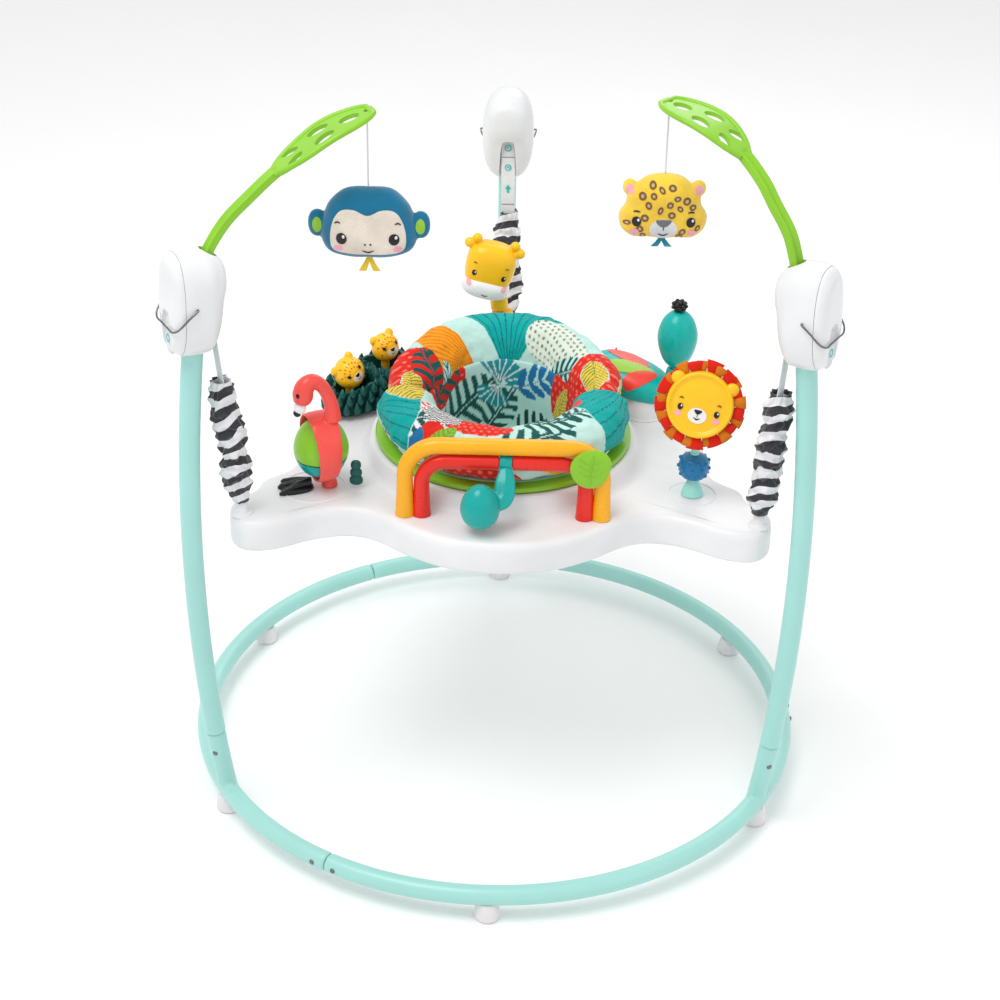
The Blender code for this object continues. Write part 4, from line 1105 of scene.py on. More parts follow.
def tray_outline(count):
    """The tray's plan, as points evenly spread along its edge."""
    chosen = TRAY_EDGE + [(360 - a, r) for a, r in TRAY_EDGE[-2:0:-1]]
    points = [Vector((r * cos(radians(270 + a)), r * sin(radians(270 + a)), 0)) for a, r in chosen]
    path = smooth(points + [points[0]], 40 * len(points))
    relaxed = path[:-1]
    for _ in range(60):
        relaxed = [(relaxed[i - 1] + p * 2 + relaxed[(i + 1) % len(relaxed)]) / 4 for i, p in enumerate(relaxed)]
    lengths = [0.0]
    for a, b in zip(relaxed, relaxed[1:] + relaxed[:1]):
        lengths.append(lengths[-1] + (b - a).length)
    made, k = [], 0
    for i in range(count):
        want = lengths[-1] * i / count
        while lengths[k + 1] < want:
            k += 1
        share = (want - lengths[k]) / (lengths[k + 1] - lengths[k])
        made.append(relaxed[k].lerp(relaxed[(k + 1) % len(relaxed)], share))
    return made


def tray():
    count = 520
    edge = tray_outline(count)
    normals = []
    for i in range(count):
        along = (edge[(i + 1) % count] - edge[i - 1]).normalized()
        normals.append(Vector((along.y, -along.x, 0)))
    profile = [
        (-0.0150, DECK), (-0.0090, DECK - 0.0002), (-0.0055, DECK - 0.0012), (-0.0028, DECK - 0.0035),
        (-0.0010, DECK - 0.0070), (-0.0003, DECK - 0.0120), (0.0, SKIRT + 0.004), (-0.0004, SKIRT + 0.001),
        (-0.0016, SKIRT), (-0.0030, SKIRT + 0.0010), (-0.0034, SKIRT + 0.010), (-0.0060, DECK - 0.0070),
        (-0.0120, DECK - 0.0035),
    ]
    rings = [[p + n * d + Vector((0, 0, z)) for p, n in zip(edge, normals)] for d, z in profile]
    turns = [atan2(p.y, p.x) for p in edge]
    hub = [Vector((cos(t), sin(t), 0)) for t in turns]
    inner = [
        (0.1780, DECK - 0.0035), (0.1690, 0.4520), (SEAT_HOLE, 0.4520), (SEAT_HOLE, 0.4625), (0.1600, 0.4640),
        (0.1690, 0.4640), (0.1712, 0.4628), (0.1728, 0.4580), (0.1765, 0.4470), (0.1800, 0.4415), (0.1870, 0.4402),
        (0.1950, DECK),
    ]
    rings += [[h * r + Vector((0, 0, z)) for h in hub] for r, z in inner]
    shell = loft("tray", rings, looped=True)
    shell.transform(Matrix.Translation((HUNG_X, 0, 0)))
    parts = [shell]
    for side in SIDES:
        foot = hang(0.46)
        profile = rounded([
            (0.0135, DECK - 0.001), (0.0125, DECK + 0.0015), (0.0085, DECK + 0.004), (0.0072, DECK + 0.012),
            (0.0060, 0.4600), (0.0042, 0.4680), (0.0005, 0.4690),
        ], 24)
        post = lathe("post", profile, (foot.x - 0.0005, 0, 0), count=32)
        post.transform(Matrix.Translation((HUNG_X, 0, 0)) @ spin(side))
        parts.append(post)
    for x, y, r in ((0.2430, -0.108, 0.0300), (-0.2300, -0.112, 0.0400), (0.0, 0.240, 0.0270), (0.1920, 0.117, 0.0345)):
        hump = ((-0.0016, -0.001), (-0.0010, 0.0007), (0, 0.0010), (0.0010, 0.0007), (0.0016, -0.001))
        parts.append(lathe("ridge", [(r + a, DECK + b) for a, b in hump], (x, y, 0), count=60, looped=True))
    put("tray_top", merged("tray", parts), "tray", "tray", ["tray_shell"], sharp=50)


def seat_frame():
    profile = [
        (0.1470, 0.4445), (0.1575, 0.4440), (0.1576, 0.4655), (0.1622, 0.4652), (0.1644, 0.4658), (0.1648, 0.4675),
        (0.1646, 0.4695), (0.1630, 0.4712), (0.1590, 0.4716), (0.1470, 0.4716),
    ]
    mesh = lathe("seat_rim", profile, (HUNG_X, 0, 0), count=120, looped=True)
    put("seat_rim", mesh, "lime", "seat", ["seat_ring"])


class Print:
    """A jungle print painted on a chart (u, v) in metres, later shapes over earlier ones."""

    def __init__(self, u, v, ground):
        self.u, self.v = u, v
        self.colour = np.tile(np.array(ground), (len(u), 1))

    def local(self, at, turn):
        t = radians(turn)
        du, dv = self.u - at[0], self.v - at[1]
        return du * cos(t) + dv * sin(t), -du * sin(t) + dv * cos(t)

    def fill(self, mask, colour):
        self.colour[mask] = colour

    def patch(self, at, a, b, turn, colour, power=2.0, dots=None, pitch=0.011):
        x, y = self.local(at, turn)
        mask = (abs(x / a) ** power + abs(y / b) ** power) < 1
        self.fill(mask, colour)
        if dots is not None:
            row = np.floor(y / pitch)
            gx = (x + (row % 2) * pitch / 2) % pitch - pitch / 2
            gy = y % pitch - pitch / 2
            self.fill(mask & (gx**2 + gy**2 < (pitch * 0.24) ** 2), dots)

    def fan(self, at, radius, turn, spread, colour, line, rays=9, edge=None, width=0.0007):
        x, y = self.local(at, turn)
        r, a = np.hypot(x, y), np.arctan2(y, x)
        half = radians(spread) / 2
        limit = radius * (1 - 0.10 * np.cos(a / half * pi / 2 * 0.9) ** 8)
        mask = (r < limit) & (abs(a) < half)
        if edge is not None:
            self.fill((r < limit + 0.0014) & (abs(a) < half + 0.03), edge)
        self.fill(mask, colour)
        for k in range(rays):
            ray = -half + 2 * half * (k + 0.5) / rays
            off = abs(r * np.sin(a - ray))
            near = (off < width * (0.5 + r / radius * 0.6)) & (np.cos(a - ray) > 0)
            self.fill(mask & near & (r > radius * 0.1), line)

    def feather(self, at, length, width, turn, colour, vein, veins=12, edge=None):
        x, y = self.local(at, turn)
        s = x / length
        inside = (s > 0) & (s < 1)
        half = width * np.sqrt(np.clip(4 * s * (1 - s), 0, 1)) * (1.15 - 0.3 * s)
        if edge is not None:
            self.fill(inside & (abs(y) < half + 0.0012), edge)
        mask = inside & (abs(y) < half)
        self.fill(mask, colour)
        stripes = np.sin((s * veins - abs(y) / width * 1.6) * tau) > 0.45
        self.fill(mask & (stripes | (abs(y) < 0.0006)), vein)

    def monstera(self, at, length, width, turn, colour, ground, slots=5):
        """A dark leaf whose edge is cut by pale slots."""
        x, y = self.local(at, turn)
        s = x / length
        half = width * np.sqrt(np.clip(4 * s * (1 - s), 0, 1)) * (1.25 - 0.5 * s)
        mask = (s > 0) & (s < 1) & (abs(y) < half)
        self.fill(mask, colour)
        wave = (s * slots - abs(y) / width * 0.8) % 1.0
        slot = (abs(y) > width * 0.16) & (abs(wave - 0.5) < 0.20 + 0.08 * abs(y) / width)
        self.fill(mask & slot, ground)
        self.fill(mask & (abs(y) < 0.0008), ground)

    def sprig(self, at, length, turn, colour, leaf=0.0085, pairs=4):
        x, y = self.local(at, turn)
        self.fill((abs(y) < 0.0007) & (x > 0) & (x < length), colour)
        for k in range(pairs):
            for sign in (-1, 1):
                cx = length * (k + 0.6) / pairs
                px, py = x - cx - leaf * 0.6, y - sign * leaf * 0.85
                t = radians(sign * 48)
                a, b = px * cos(t) + py * sin(t), -px * sin(t) + py * cos(t)
                self.fill((a / leaf) ** 2 + (b / (leaf * 0.40)) ** 2 < 1, colour)
        px = x - length
        self.fill((px / leaf) ** 2 + (y / (leaf * 0.4)) ** 2 < 1, colour)

    def stripes(self, at, a, b, turn, dark, light, pitch=0.0052, wave=0.0016):
        x, y = self.local(at, turn)
        mask = (abs(x / a) ** 3 + abs(y / b) ** 3) < 1
        self.fill(mask, light)
        self.fill(mask & ((y + wave * np.sin(x * 230)) % pitch < pitch * 0.48), dark)


def paint_print(mesh, chart, ground, motifs):
    """Writes the print into the mesh's colour layer. Chart gives (u, v) for each vertex."""
    count = len(mesh.vertices)
    points = np.empty(count * 3)
    mesh.vertices.foreach_get("co", points)
    u, v = chart(points.reshape(-1, 3))
    art = Print(u, v, ground)
    motifs(art)
    layer = mesh.color_attributes.new("print", "FLOAT_COLOR", "POINT")
    data = np.ones((count, 4))
    data[:, :3] = art.colour
    layer.data.foreach_set("color", data.ravel())


def arc_chart(radius):
    """Distance round the seat from its front, and height-like distance over the roll."""

    def chart(points):
        x, y, z = points[:, 0] - HUNG_X, points[:, 1], points[:, 2]
        angle = np.arctan2(x, -y)
        r = np.hypot(x, y)
        return angle * radius, np.arctan2(z - 0.500, r - radius) * 0.036

    return chart


def roll_motifs(art):
    """Print of the front roll. u is distance round from the front, positive to the right; v runs over the roll."""
    top = 0.0565
    art.monstera((0.000, top - 0.034), 0.090, 0.030, 14, DEEP, PALE_MINT, 5)
    art.patch((-0.030, top + 0.006), 0.044, 0.024, 4, RED, 3.0, DOT, 0.009)
    art.monstera((0.030, top + 0.016), 0.095, 0.028, -8, DEEP, PALE_MINT, 6)
    art.monstera((0.098, top + 0.010), 0.062, 0.020, -22, DEEP, PALE_MINT, 5)
    art.stripes((-0.088, top + 0.008), 0.030, 0.026, 25, BLACK, CHALK)
    art.patch((-0.070, top - 0.036), 0.015, 0.026, 40, RED, 3.0)
    art.patch((-0.098, top - 0.044), 0.018, 0.015, 10, NAVY, 2.5)
    art.feather((-0.074, top - 0.070), 0.060, 0.012, 70, LIME, OLIVE, 9)
    art.monstera((-0.150, top - 0.066), 0.080, 0.026, 45, DEEP, CHALK, 6)
    art.stripes((-0.130, top - 0.020), 0.018, 0.040, 8, CORAL, rgb(246, 232, 226), 0.009)
    art.fan((-0.176, top - 0.052), 0.078, 66, 150, TEAL, TEAL_DARK, 11, PALE_MINT)
    art.feather((-0.214, top - 0.016), 0.072, 0.024, 20, STRAW, OLIVE, 12, PALE_MINT)
    art.patch((-0.226, top + 0.020), 0.044, 0.032, 0, RED, 2.6, DOT, 0.010)
    art.fan((0.214, top - 0.034), 0.108, 158, 150, TEAL, TEAL_DARK, 15, PALE_MINT)
    art.feather((0.190, top + 0.030), 0.060, 0.018, -10, STRAW, OLIVE, 12, PALE_MINT)
    art.patch((0.226, top + 0.044), 0.044, 0.026, 0, RED, 2.6, DOT, 0.010)
    art.patch((0.146, top + 0.026), 0.013, 0.008, 30, CORAL)
    art.fan((0.06, top - 0.080), 0.046, 80, 130, SUN, ORANGE, 8, PALE_MINT)
    art.patch((-0.02, top - 0.080), 0.040, 0.020, 0, RED, 2.6, DOT, 0.010)


def back_motifs(art):
    """Print of the raised back. u runs round from the middle of the back to the right; v climbs the inner face."""
    art.fan((0.006, 0.022), 0.125, 88, 62, TEAL, TEAL_DARK, 9, PALE_MINT, 0.0008)
    art.fan((-0.050, 0.036), 0.100, 146, 66, ORANGE, rgb(212, 112, 22), 13, PALE_MINT)
    art.patch((0.082, 0.074), 0.052, 0.030, -24, rgb(222, 240, 228), 3.0, rgb(150, 120, 70), 0.0080)
    art.monstera((0.086, 0.036), 0.070, 0.018, 26, DEEP, PALE_MINT, 7)
    art.patch((0.172, 0.052), 0.046, 0.060, 0, RED, 3.0, DOT, 0.0095)
    art.feather((0.146, 0.078), 0.060, 0.015, -28, STRAW, OLIVE, 11, PALE_MINT)
    art.patch((-0.176, 0.052), 0.052, 0.060, 0, RED, 3.0, DOT, 0.0095)
    art.monstera((-0.158, 0.030), 0.066, 0.022, 62, DEEP, RED, 4)
    art.feather((-0.214, 0.034), 0.056, 0.017, 40, STRAW, OLIVE, 11, PALE_MINT)
    art.feather((-0.118, 0.012), 0.050, 0.012, 80, PALE_MINT, TEAL_DARK, 3)


def liner_motifs(art):
    """Print inside the well. u runs round from the back's middle to the right; v is height above the bottom rim."""
    art.patch((-0.112, 0.076), 0.044, 0.044, 12, RED, 3.0, DOT, 0.0105)
    art.monstera((-0.136, 0.050), 0.070, 0.026, 34, DEEP, RED, 4)
    art.monstera((-0.100, -0.006), 0.104, 0.040, 36, DEEP, PALE_MINT, 6)
    art.monstera((-0.024, -0.016), 0.070, 0.026, 56, DEEP, PALE_MINT, 4)
    art.fan((-0.010, 0.050), 0.044, 60, 150, rgb(20, 150, 160), CHALK, 8, width=0.0011)
    art.fan((-0.010, 0.048), 0.036, 240, 120, rgb(20, 150, 160), CHALK, 6, width=0.0011)
    art.sprig((0.016, 0.040), 0.074, 24, NAVY, 0.0150, 4)
    art.patch((0.124, 0.056), 0.040, 0.062, -10, RED, 3.0, DOT, 0.0105)
    art.feather((0.090, 0.000), 0.070, 0.012, 66, STRAW, OLIVE, 12)
    art.monstera((0.022, -0.022), 0.056, 0.024, 24, rgb(24, 70, 66), PALE_MINT, 4)


def swept_pad(name, angles, section, rows):
    """A stuffed roll bent round the seat. Section gives (radius, z) points for degrees from the back's middle."""
    rings = []
    for i in range(rows + 1):
        angle = angles[0] + (angles[1] - angles[0]) * i / rows
        t = radians(90 - angle)
        out = Vector((cos(t), sin(t), 0))
        rings.append([out * r + Vector((HUNG_X, 0, z)) for r, z in section(angle, i / rows)])
    return loft(name, rings)


def crumple(mesh, amount, scale, seed):
    """Soft folds pushed along each vertex's normal."""
    normals = [v.normal.copy() for v in mesh.vertices]
    for v, n in zip(mesh.vertices, normals):
        p = v.co * scale + Vector((seed, seed * 2.1, 0))
        v.co += n * amount * (noise.noise(p) + 0.5 * noise.noise(p * 2.3))


def seat_fabric():
    """A C-shaped front roll, a raised back and the cloth that lines the well."""

    def roll(angle, share):
        end = min(share, 1 - share)
        close = min(1.0, 0.30 + 7.5 * end) if end < 0.10 else 1.0
        front = 0.5 - 0.5 * cos(radians(angle))
        wide = 0.0372 * close
        tall = (0.0330 - 0.0040 * front) * close
        middle, lift = 0.1245, 0.5035 - 0.002 * front
        points = []
        for t in around(132):
            a, b = cos(t), sin(t)
            crown = 1.0 if b > 0 else 0.92
            x = middle + wide * squared(a, 0.92 if b > 0 else 0.60)
            points.append((x, lift + tall * crown * squared(b, 0.92)))
        return points

    def backrest(angle, share):
        end = min(share, 1 - share)
        close = min(1.0, 0.25 + 5.0 * end)
        rise = cos(radians(angle * 0.80)) ** 2
        top = 0.530 + 0.040 * rise
        bottom = 0.4725
        middle, half = (top + bottom) / 2, (top - bottom) / 2 * (0.75 + 0.25 * close)
        points = []
        for t in around(132):
            a, b = cos(t), sin(t)
            lean = 0.012 * rise * max(0.0, b)
            x = 0.1285 + lean + 0.0315 * close * squared(a, 0.85)
            points.append((min(x, 0.1625), middle + half * squared(b, 0.9)))
        return points

    front = swept_pad("roll", (74, 286), roll, 420)
    crumple(front, 0.0032, 30, 1.0)
    crumple(front, 0.0012, 80, 4.0)
    paint_print(front, arc_chart(0.1215), PALE_MINT, roll_motifs)
    obj = put("seat_roll", front, "print", "seat", ["seat_pad"], sharp=0)
    rest = swept_pad("rest", (-100, 100), backrest, 380)
    crumple(rest, 0.0036, 26, 7.0)
    crumple(rest, 0.0013, 74, 3.0)

    def back_chart(points):
        x, y, z = points[:, 0] - HUNG_X, points[:, 1], points[:, 2]
        return np.arctan2(x, y) * 0.126, (z - 0.4725) + np.clip(np.hypot(x, y) - 0.118, 0, 0.05) * 0.9

    paint_print(rest, back_chart, PALE_MINT, back_motifs)
    obj = put("seat_back", rest, "print", "seat", sharp=0)
    liner()


def liner():
    """The hanging bucket: cloth from under the pads down to the crotch, with a leg hole on each side."""
    rows, count = 190, 420
    lip, lip_rows = 28, 52
    levels = [
        (0.1440, 0.4700), (0.1200, 0.4760), (0.0985, 0.5050), (0.0950, 0.4700), (0.1010, 0.4300), (0.0990, 0.4000),
        (0.0900, 0.3550), (0.0760, 0.3250), (0.0500, 0.3140), (0.0010, 0.3125),
    ]
    path = smooth([(r, z, 0) for r, z in levels], rows)
    rings = []
    for i, p in enumerate(path):
        low = min(1.0, max(0.0, (i - 70) / 52))
        ring = []
        for t in around(count):
            fold = 0.0028 * noise.noise(Vector((cos(t) * 2.2, sin(t) * 2.2, p.y * 16))) * min(1.0, i / 35)
            fold += 0.0012 * sin(14 * t + 5 * noise.noise(Vector((cos(t), sin(t), 2)))) * low
            rise = 0.022 * max(0.0, sin(t)) ** 2 if lip < i < lip + lip_rows else 0.0
            reach = min(p.x + fold, 0.1435)
            height = p.y + rise * sin(pi * (i - lip) / lip_rows)
            ring.append(Vector((HUNG_X + reach * cos(t), reach * sin(t), height)))
        rings.append(ring)
    mesh = loft("liner", rings, capped=False)
    bm = bmesh.new()
    bm.from_mesh(mesh)
    holes = [(Vector((HUNG_X + sign * 0.052, -0.030, 0.355)), Vector((sign * 0.026, -0.130, -0.035)).normalized())
             for sign in (-1, 1)]
    drop = set()
    for face in bm.faces:
        c = face.calc_center_median()
        for start, aim in holes:
            off = c - start
            if (off - aim * off.dot(aim)).length < 0.0355 and c.y < -0.02 and off.dot(aim) > 0.02:
                drop.add(face)
    bmesh.ops.delete(bm, geom=list(drop), context="FACES")
    bm.to_mesh(mesh)
    bm.free()

    def chart(points):
        x, y, z = points[:, 0] - HUNG_X, points[:, 1], points[:, 2]
        return np.arctan2(x, y) * 0.115, z - 0.440

    paint_print(mesh, chart, PALE_MINT, liner_motifs)
    obj = put("seat_liner", mesh, "print", "seat", ["seat_sling"], sharp=0)
    thick = obj.modifiers.new("thickness", "SOLIDIFY")
    thick.thickness = 0.0018
    thick.offset = 0


# ---------------------------------------------------------------- toys


def arch_path(half, top, radius, steps=14):
    points = [Vector((ARCH_X - half, ARCH_Y, DECK + 0.0005 + (top - radius - DECK) * i / 12)) for i in range(13)]
    for i in range(1, steps + 1):
        t = pi / 2 * i / steps
        points.append(Vector((ARCH_X - half + radius * (1 - cos(t)), ARCH_Y, top - radius + radius * sin(t))))
    right = [Vector((2 * ARCH_X - p.x, p.y, p.z)) for p in points[::-1]]
    return points + right


def arch():
    for name, half, top, bend, thick, paint, slot in (
        ("arch_yellow", 0.1198, YELLOW_TOP, 0.042, 0.0103, "yellow", "yellow"),
        ("arch_red", 0.0995, RED_TOP, 0.030, 0.0098, "red", "red"),
    ):
        path = arch_path(half, top, bend)
        radii = []
        for p in path:
            low = max(0.0, 1 - (p.z - DECK) / 0.055)
            radii.append(thick + 0.0022 * low**1.5)
        if slot == "red":
            half_way = len(path) // 2
            groove = []
            for x, r in ((-0.0086, thick), (-0.0082, 0.0063), (0.0082, 0.0063), (0.0086, thick)):
                groove.append((Vector((PADDLE_X + x, ARCH_Y, top)), r))
            path = path[:half_way] + [g[0] for g in groove] + path[half_way:]
            radii = radii[:half_way] + [g[1] for g in groove] + radii[half_way:]
        rings = []
        for (p, side, up), r in zip(frames(path), radii):
            ring = []
            for t in around(32):
                flute = 1 - 0.05 * (abs(sin(t)) > 0.97)
                ring.append(p + side * (r * flute * cos(t)) + up * (r * flute * sin(t)))
            rings.append(ring)
        put(f"{name}_tube", loft(name, rings), paint, "tray", [name], sharp=50)


def paddle():
    """A teal egg on a broad hook whose collar turns on the red tube."""
    collar = lathe("collar", [
        (0.0068, -0.0072), (0.0092, -0.0074), (0.0098, -0.0068), (0.0098, 0.0068), (0.0092, 0.0074), (0.0068, 0.0072),
    ], (PADDLE_X, ARCH_Y, RED_TOP), (1, 0, 0), 40, looped=True)
    hook = smooth([
        (PADDLE_X, ARCH_Y - 0.0070, RED_TOP - 0.0053), (PADDLE_X, ARCH_Y - 0.0190, RED_TOP - 0.0160),
        (PADDLE_X - 0.003, -0.2070, 0.4820), (-0.010, -0.2140, 0.4765),
    ], 30)
    widths = smooth_list([0.0072, 0.0120, 0.0125, 0.0095], 30)
    rings = []
    for i, (p, _, _) in enumerate(frames(hook)):
        ahead = (hook[min(i + 1, 30)] - hook[max(i - 1, 0)]).normalized()
        across = (Vector((1, 0, 0)) - ahead * ahead.x).normalized()
        up = across.cross(ahead)
        ring = []
        for t in around(28):
            a = widths[i] * squared(cos(t), 0.6)
            b = 0.0042 * squared(sin(t), 0.7)
            if abs(a) < 0.003:
                b *= 1.25
            ring.append(p + across * a + up * b)
        rings.append(ring)
    arm = loft("hook", rings)
    egg = blob("egg", (-0.0195, -0.2160, 0.4760), (0.0238, 0.0228, 0.0288), rows=40, count=60,
               shape=lambda p: Vector((p.x * (1 - 0.10 * p.z), p.y * (1 - 0.10 * p.z), p.z)))
    mesh = remeshed(merged("paddle", [arm, egg]), 0.0009, 5)
    put("hook_paddle", merged("paddle", [mesh, collar]), "teal", "paddle", ["paddle"], sharp=45)


def leaf_disc():
    centre = Vector((0.1120, ARCH_Y - 0.0098 - 0.0055, 0.5160))

    def edge(t):
        return 1 + 0.05 * cos(2 * t + 0.6) + 0.03 * cos(3 * t)

    profile = [
        (0.0005, -0.0032), (0.012, -0.0032), (0.0215, -0.0026), (0.0248, -0.0012), (0.0252, 0.0006), (0.0238, 0.0022),
        (0.0120, 0.0024), (0.0005, 0.0024),
    ]
    disc = lathe("disc", profile, centre, (0, 1, 0), 72, edge)
    front = centre + Vector((0, -0.0033, 0))

    def vein(offsets, steps, radius, count):
        return tube("vein", smooth([front + Vector(offset) for offset in offsets], steps), radius, count)

    veins = [vein([(0.000, 0, -0.021), (0, 0, 0), (0.003, 0, 0.019)], 16, 0.0010, 10)]
    for z in (-0.010, -0.002, 0.007):
        for sign in (-1, 1):
            veins.append(vein([(0, 0, z), (sign * 0.007, 0, z + 0.003), (sign * 0.014, 0.0003, z + 0.0075)],
                              10, 0.0007, 8))
    put("leaf_disc", merged("disc", [disc, *veins]), "lime", "leaf_disc", ["arch_leaf"], sharp=45)


def lion():
    x, y, z = 0.2430, -0.126, 0.5740
    post_y = -0.108
    facing = Vector((-0.15, -1.0, 0.33)).normalized()
    profile = rounded([(0.0001, DECK + 0.0004), (0.0128, DECK + 0.0004), (0.0134, DECK + 0.003),
                       (0.0118, DECK + 0.009)], 14)
    profile += rounded([(0.0118, DECK + 0.009), (0.0088, DECK + 0.016), (0.0066, DECK + 0.021),
                        (0.0062, DECK + 0.028)], 10)[1:]
    profile += [(0.0060, 0.500), (0.0046, 0.5005), (0.0046, 0.588), (0.0001, 0.5895)]
    put("lion_stand", lathe("stand", profile, (x, post_y, 0), count=40), "post", "tray", ["lion_post"])
    belly = rounded([(0.0066, -0.0170), (0.0140, -0.0150), (0.0185, -0.0070), (0.0190, 0.002), (0.0160, 0.0110),
                     (0.0066, 0.0165)], 30)
    ball_z = 0.4810
    ball = lathe("ball", [(0.0066, -0.0170), *belly, (0.0066, 0.0165)], (x, post_y, ball_z), count=60, looped=True)
    bumps = []
    for row, (height, reach) in enumerate(((-0.009, 0.0172), (0.0, 0.0190), (0.008, 0.0176))):
        for k in range(9):
            t = tau * (k + 0.5 * (row % 2)) / 9
            bumps.append(blob("bump", (x + reach * cos(t), post_y + reach * sin(t), ball_z + height),
                              (0.0026, 0.0026, 0.0026), rows=10, count=14))
    put("bumpy_ball", merged("ball", [ball, *bumps]), "ball", "lion_spinner", ["lion_ball"])
    across = facing.cross(Vector((0, 0, 1))).normalized() * -1
    up = facing.cross(across)
    up *= 1 if up.z > 0 else -1
    lean = radians(9)
    across, up = across * cos(lean) - up * sin(lean), up * cos(lean) + across * sin(lean)
    centre = Vector((x, y, z))
    profile = rounded([(0.0001, -0.012), (0.0300, -0.012), (0.0385, -0.0095), (0.0412, -0.002), (0.0408, 0.0060)], 20)
    profile += rounded([(0.0408, 0.0060), (0.0395, 0.0092), (0.0372, 0.0098), (0.0350, 0.0080), (0.0325, 0.0064)],
                       12)[1:]
    profile += rounded([(0.0325, 0.0064), (0.0200, 0.0076), (0.0001, 0.0084)], 10)[1:]
    disc = lathe("face", profile, centre, facing, 96)
    sleeve = lathe("sleeve", [(0.0052, 0.5235), (0.0098, 0.5235), (0.0100, 0.590), (0.0052, 0.590)], (x, post_y, 0),
                   count=32, looped=True)
    ears = []
    for sign in (-1, 1):
        spot = centre + across * (sign * 0.0330) + up * 0.0265 + facing * 0.003
        ears.append(blob("ear", spot, (0.0088, 0.0062, 0.0088), rows=18, count=26))
    target = surface(disc)
    put("lion_face", merged("face", [disc, sleeve, *ears]), "sun", "lion", ["lion_head"], sharp=45)
    plane = (centre, across, up, facing)
    dark = pair(0.0225, -0.0065, 0.0033, 0.0040)
    dark += brows([(0.0205, 0.0042), (0.0235, 0.0052), (0.0262, 0.0036)], 0.0009)
    dark.append(flat([(-0.0046, -0.0062), (0.0046, -0.0062), (0.0026, -0.0100), (0, -0.0112), (-0.0026, -0.0100)], 32))
    dark += [stroke([(0, -0.0105), (0, -0.0130), (0, -0.0150)], 0.0008),
             mouth([(-0.0042, -0.0155), (0, -0.0180)], 0.0009)]
    marks("lion", "lion", plane, target, [
        ("muzzle", "muzzle", [oval(0, -0.0130, 0.0115, 0.0095)], 0.0009, 6),
        ("cheeks", "blush", pair(0.0235, -0.0150, 0.0042, 0.0036), 0.0004),
        ("features", "black", dark, 0.0014),
        ("glints", "muzzle", pair(0.0225, -0.0050, 0.0009, 0.0012, 0.0013), 0.0019),
    ])
    loops = {"mane_red": [], "mane_orange": []}
    tabs = 26
    for i in range(tabs):
        wide = tau / tabs * (1.34 if i % 2 == 0 else 0.96)
        start = tau / tabs * i + (0 if i % 2 == 0 else tau / tabs * 0.22)
        rows = []
        reach = 0.0130 + 0.0018 * sin(i * 2.3)
        for k in range(7):
            bulge = 0.0016 * sin(pi * k / 6) + 0.0012 * sin(i * 1.7)
            strip = []
            for j in range(14):
                s = tau * j / 14
                outward = 0.5 - 0.5 * cos(s)
                t = start + wide * (k / 6 - 0.5) * (0.97 + 0.26 * outward)
                out = across * cos(t) + up * sin(t)
                r = 0.0412 + reach * outward
                d = -0.0005 + (0.0026 + bulge * 0.4) * sin(s) * (1 if sin(s) > 0 else 0.5) + bulge
                strip.append(centre + out * r + facing * d)
            rows.append(strip)
        loops["mane_red" if i % 2 == 0 else "mane_orange"].append(loft("tab", rows))
    put("mane_red_loops", merged("mane", loops["mane_red"]), "mane_red", "lion", ["lion_mane"], sharp=60)
    put("mane_orange_loops", merged("mane", loops["mane_orange"]), "mane_orange", "lion", sharp=60)


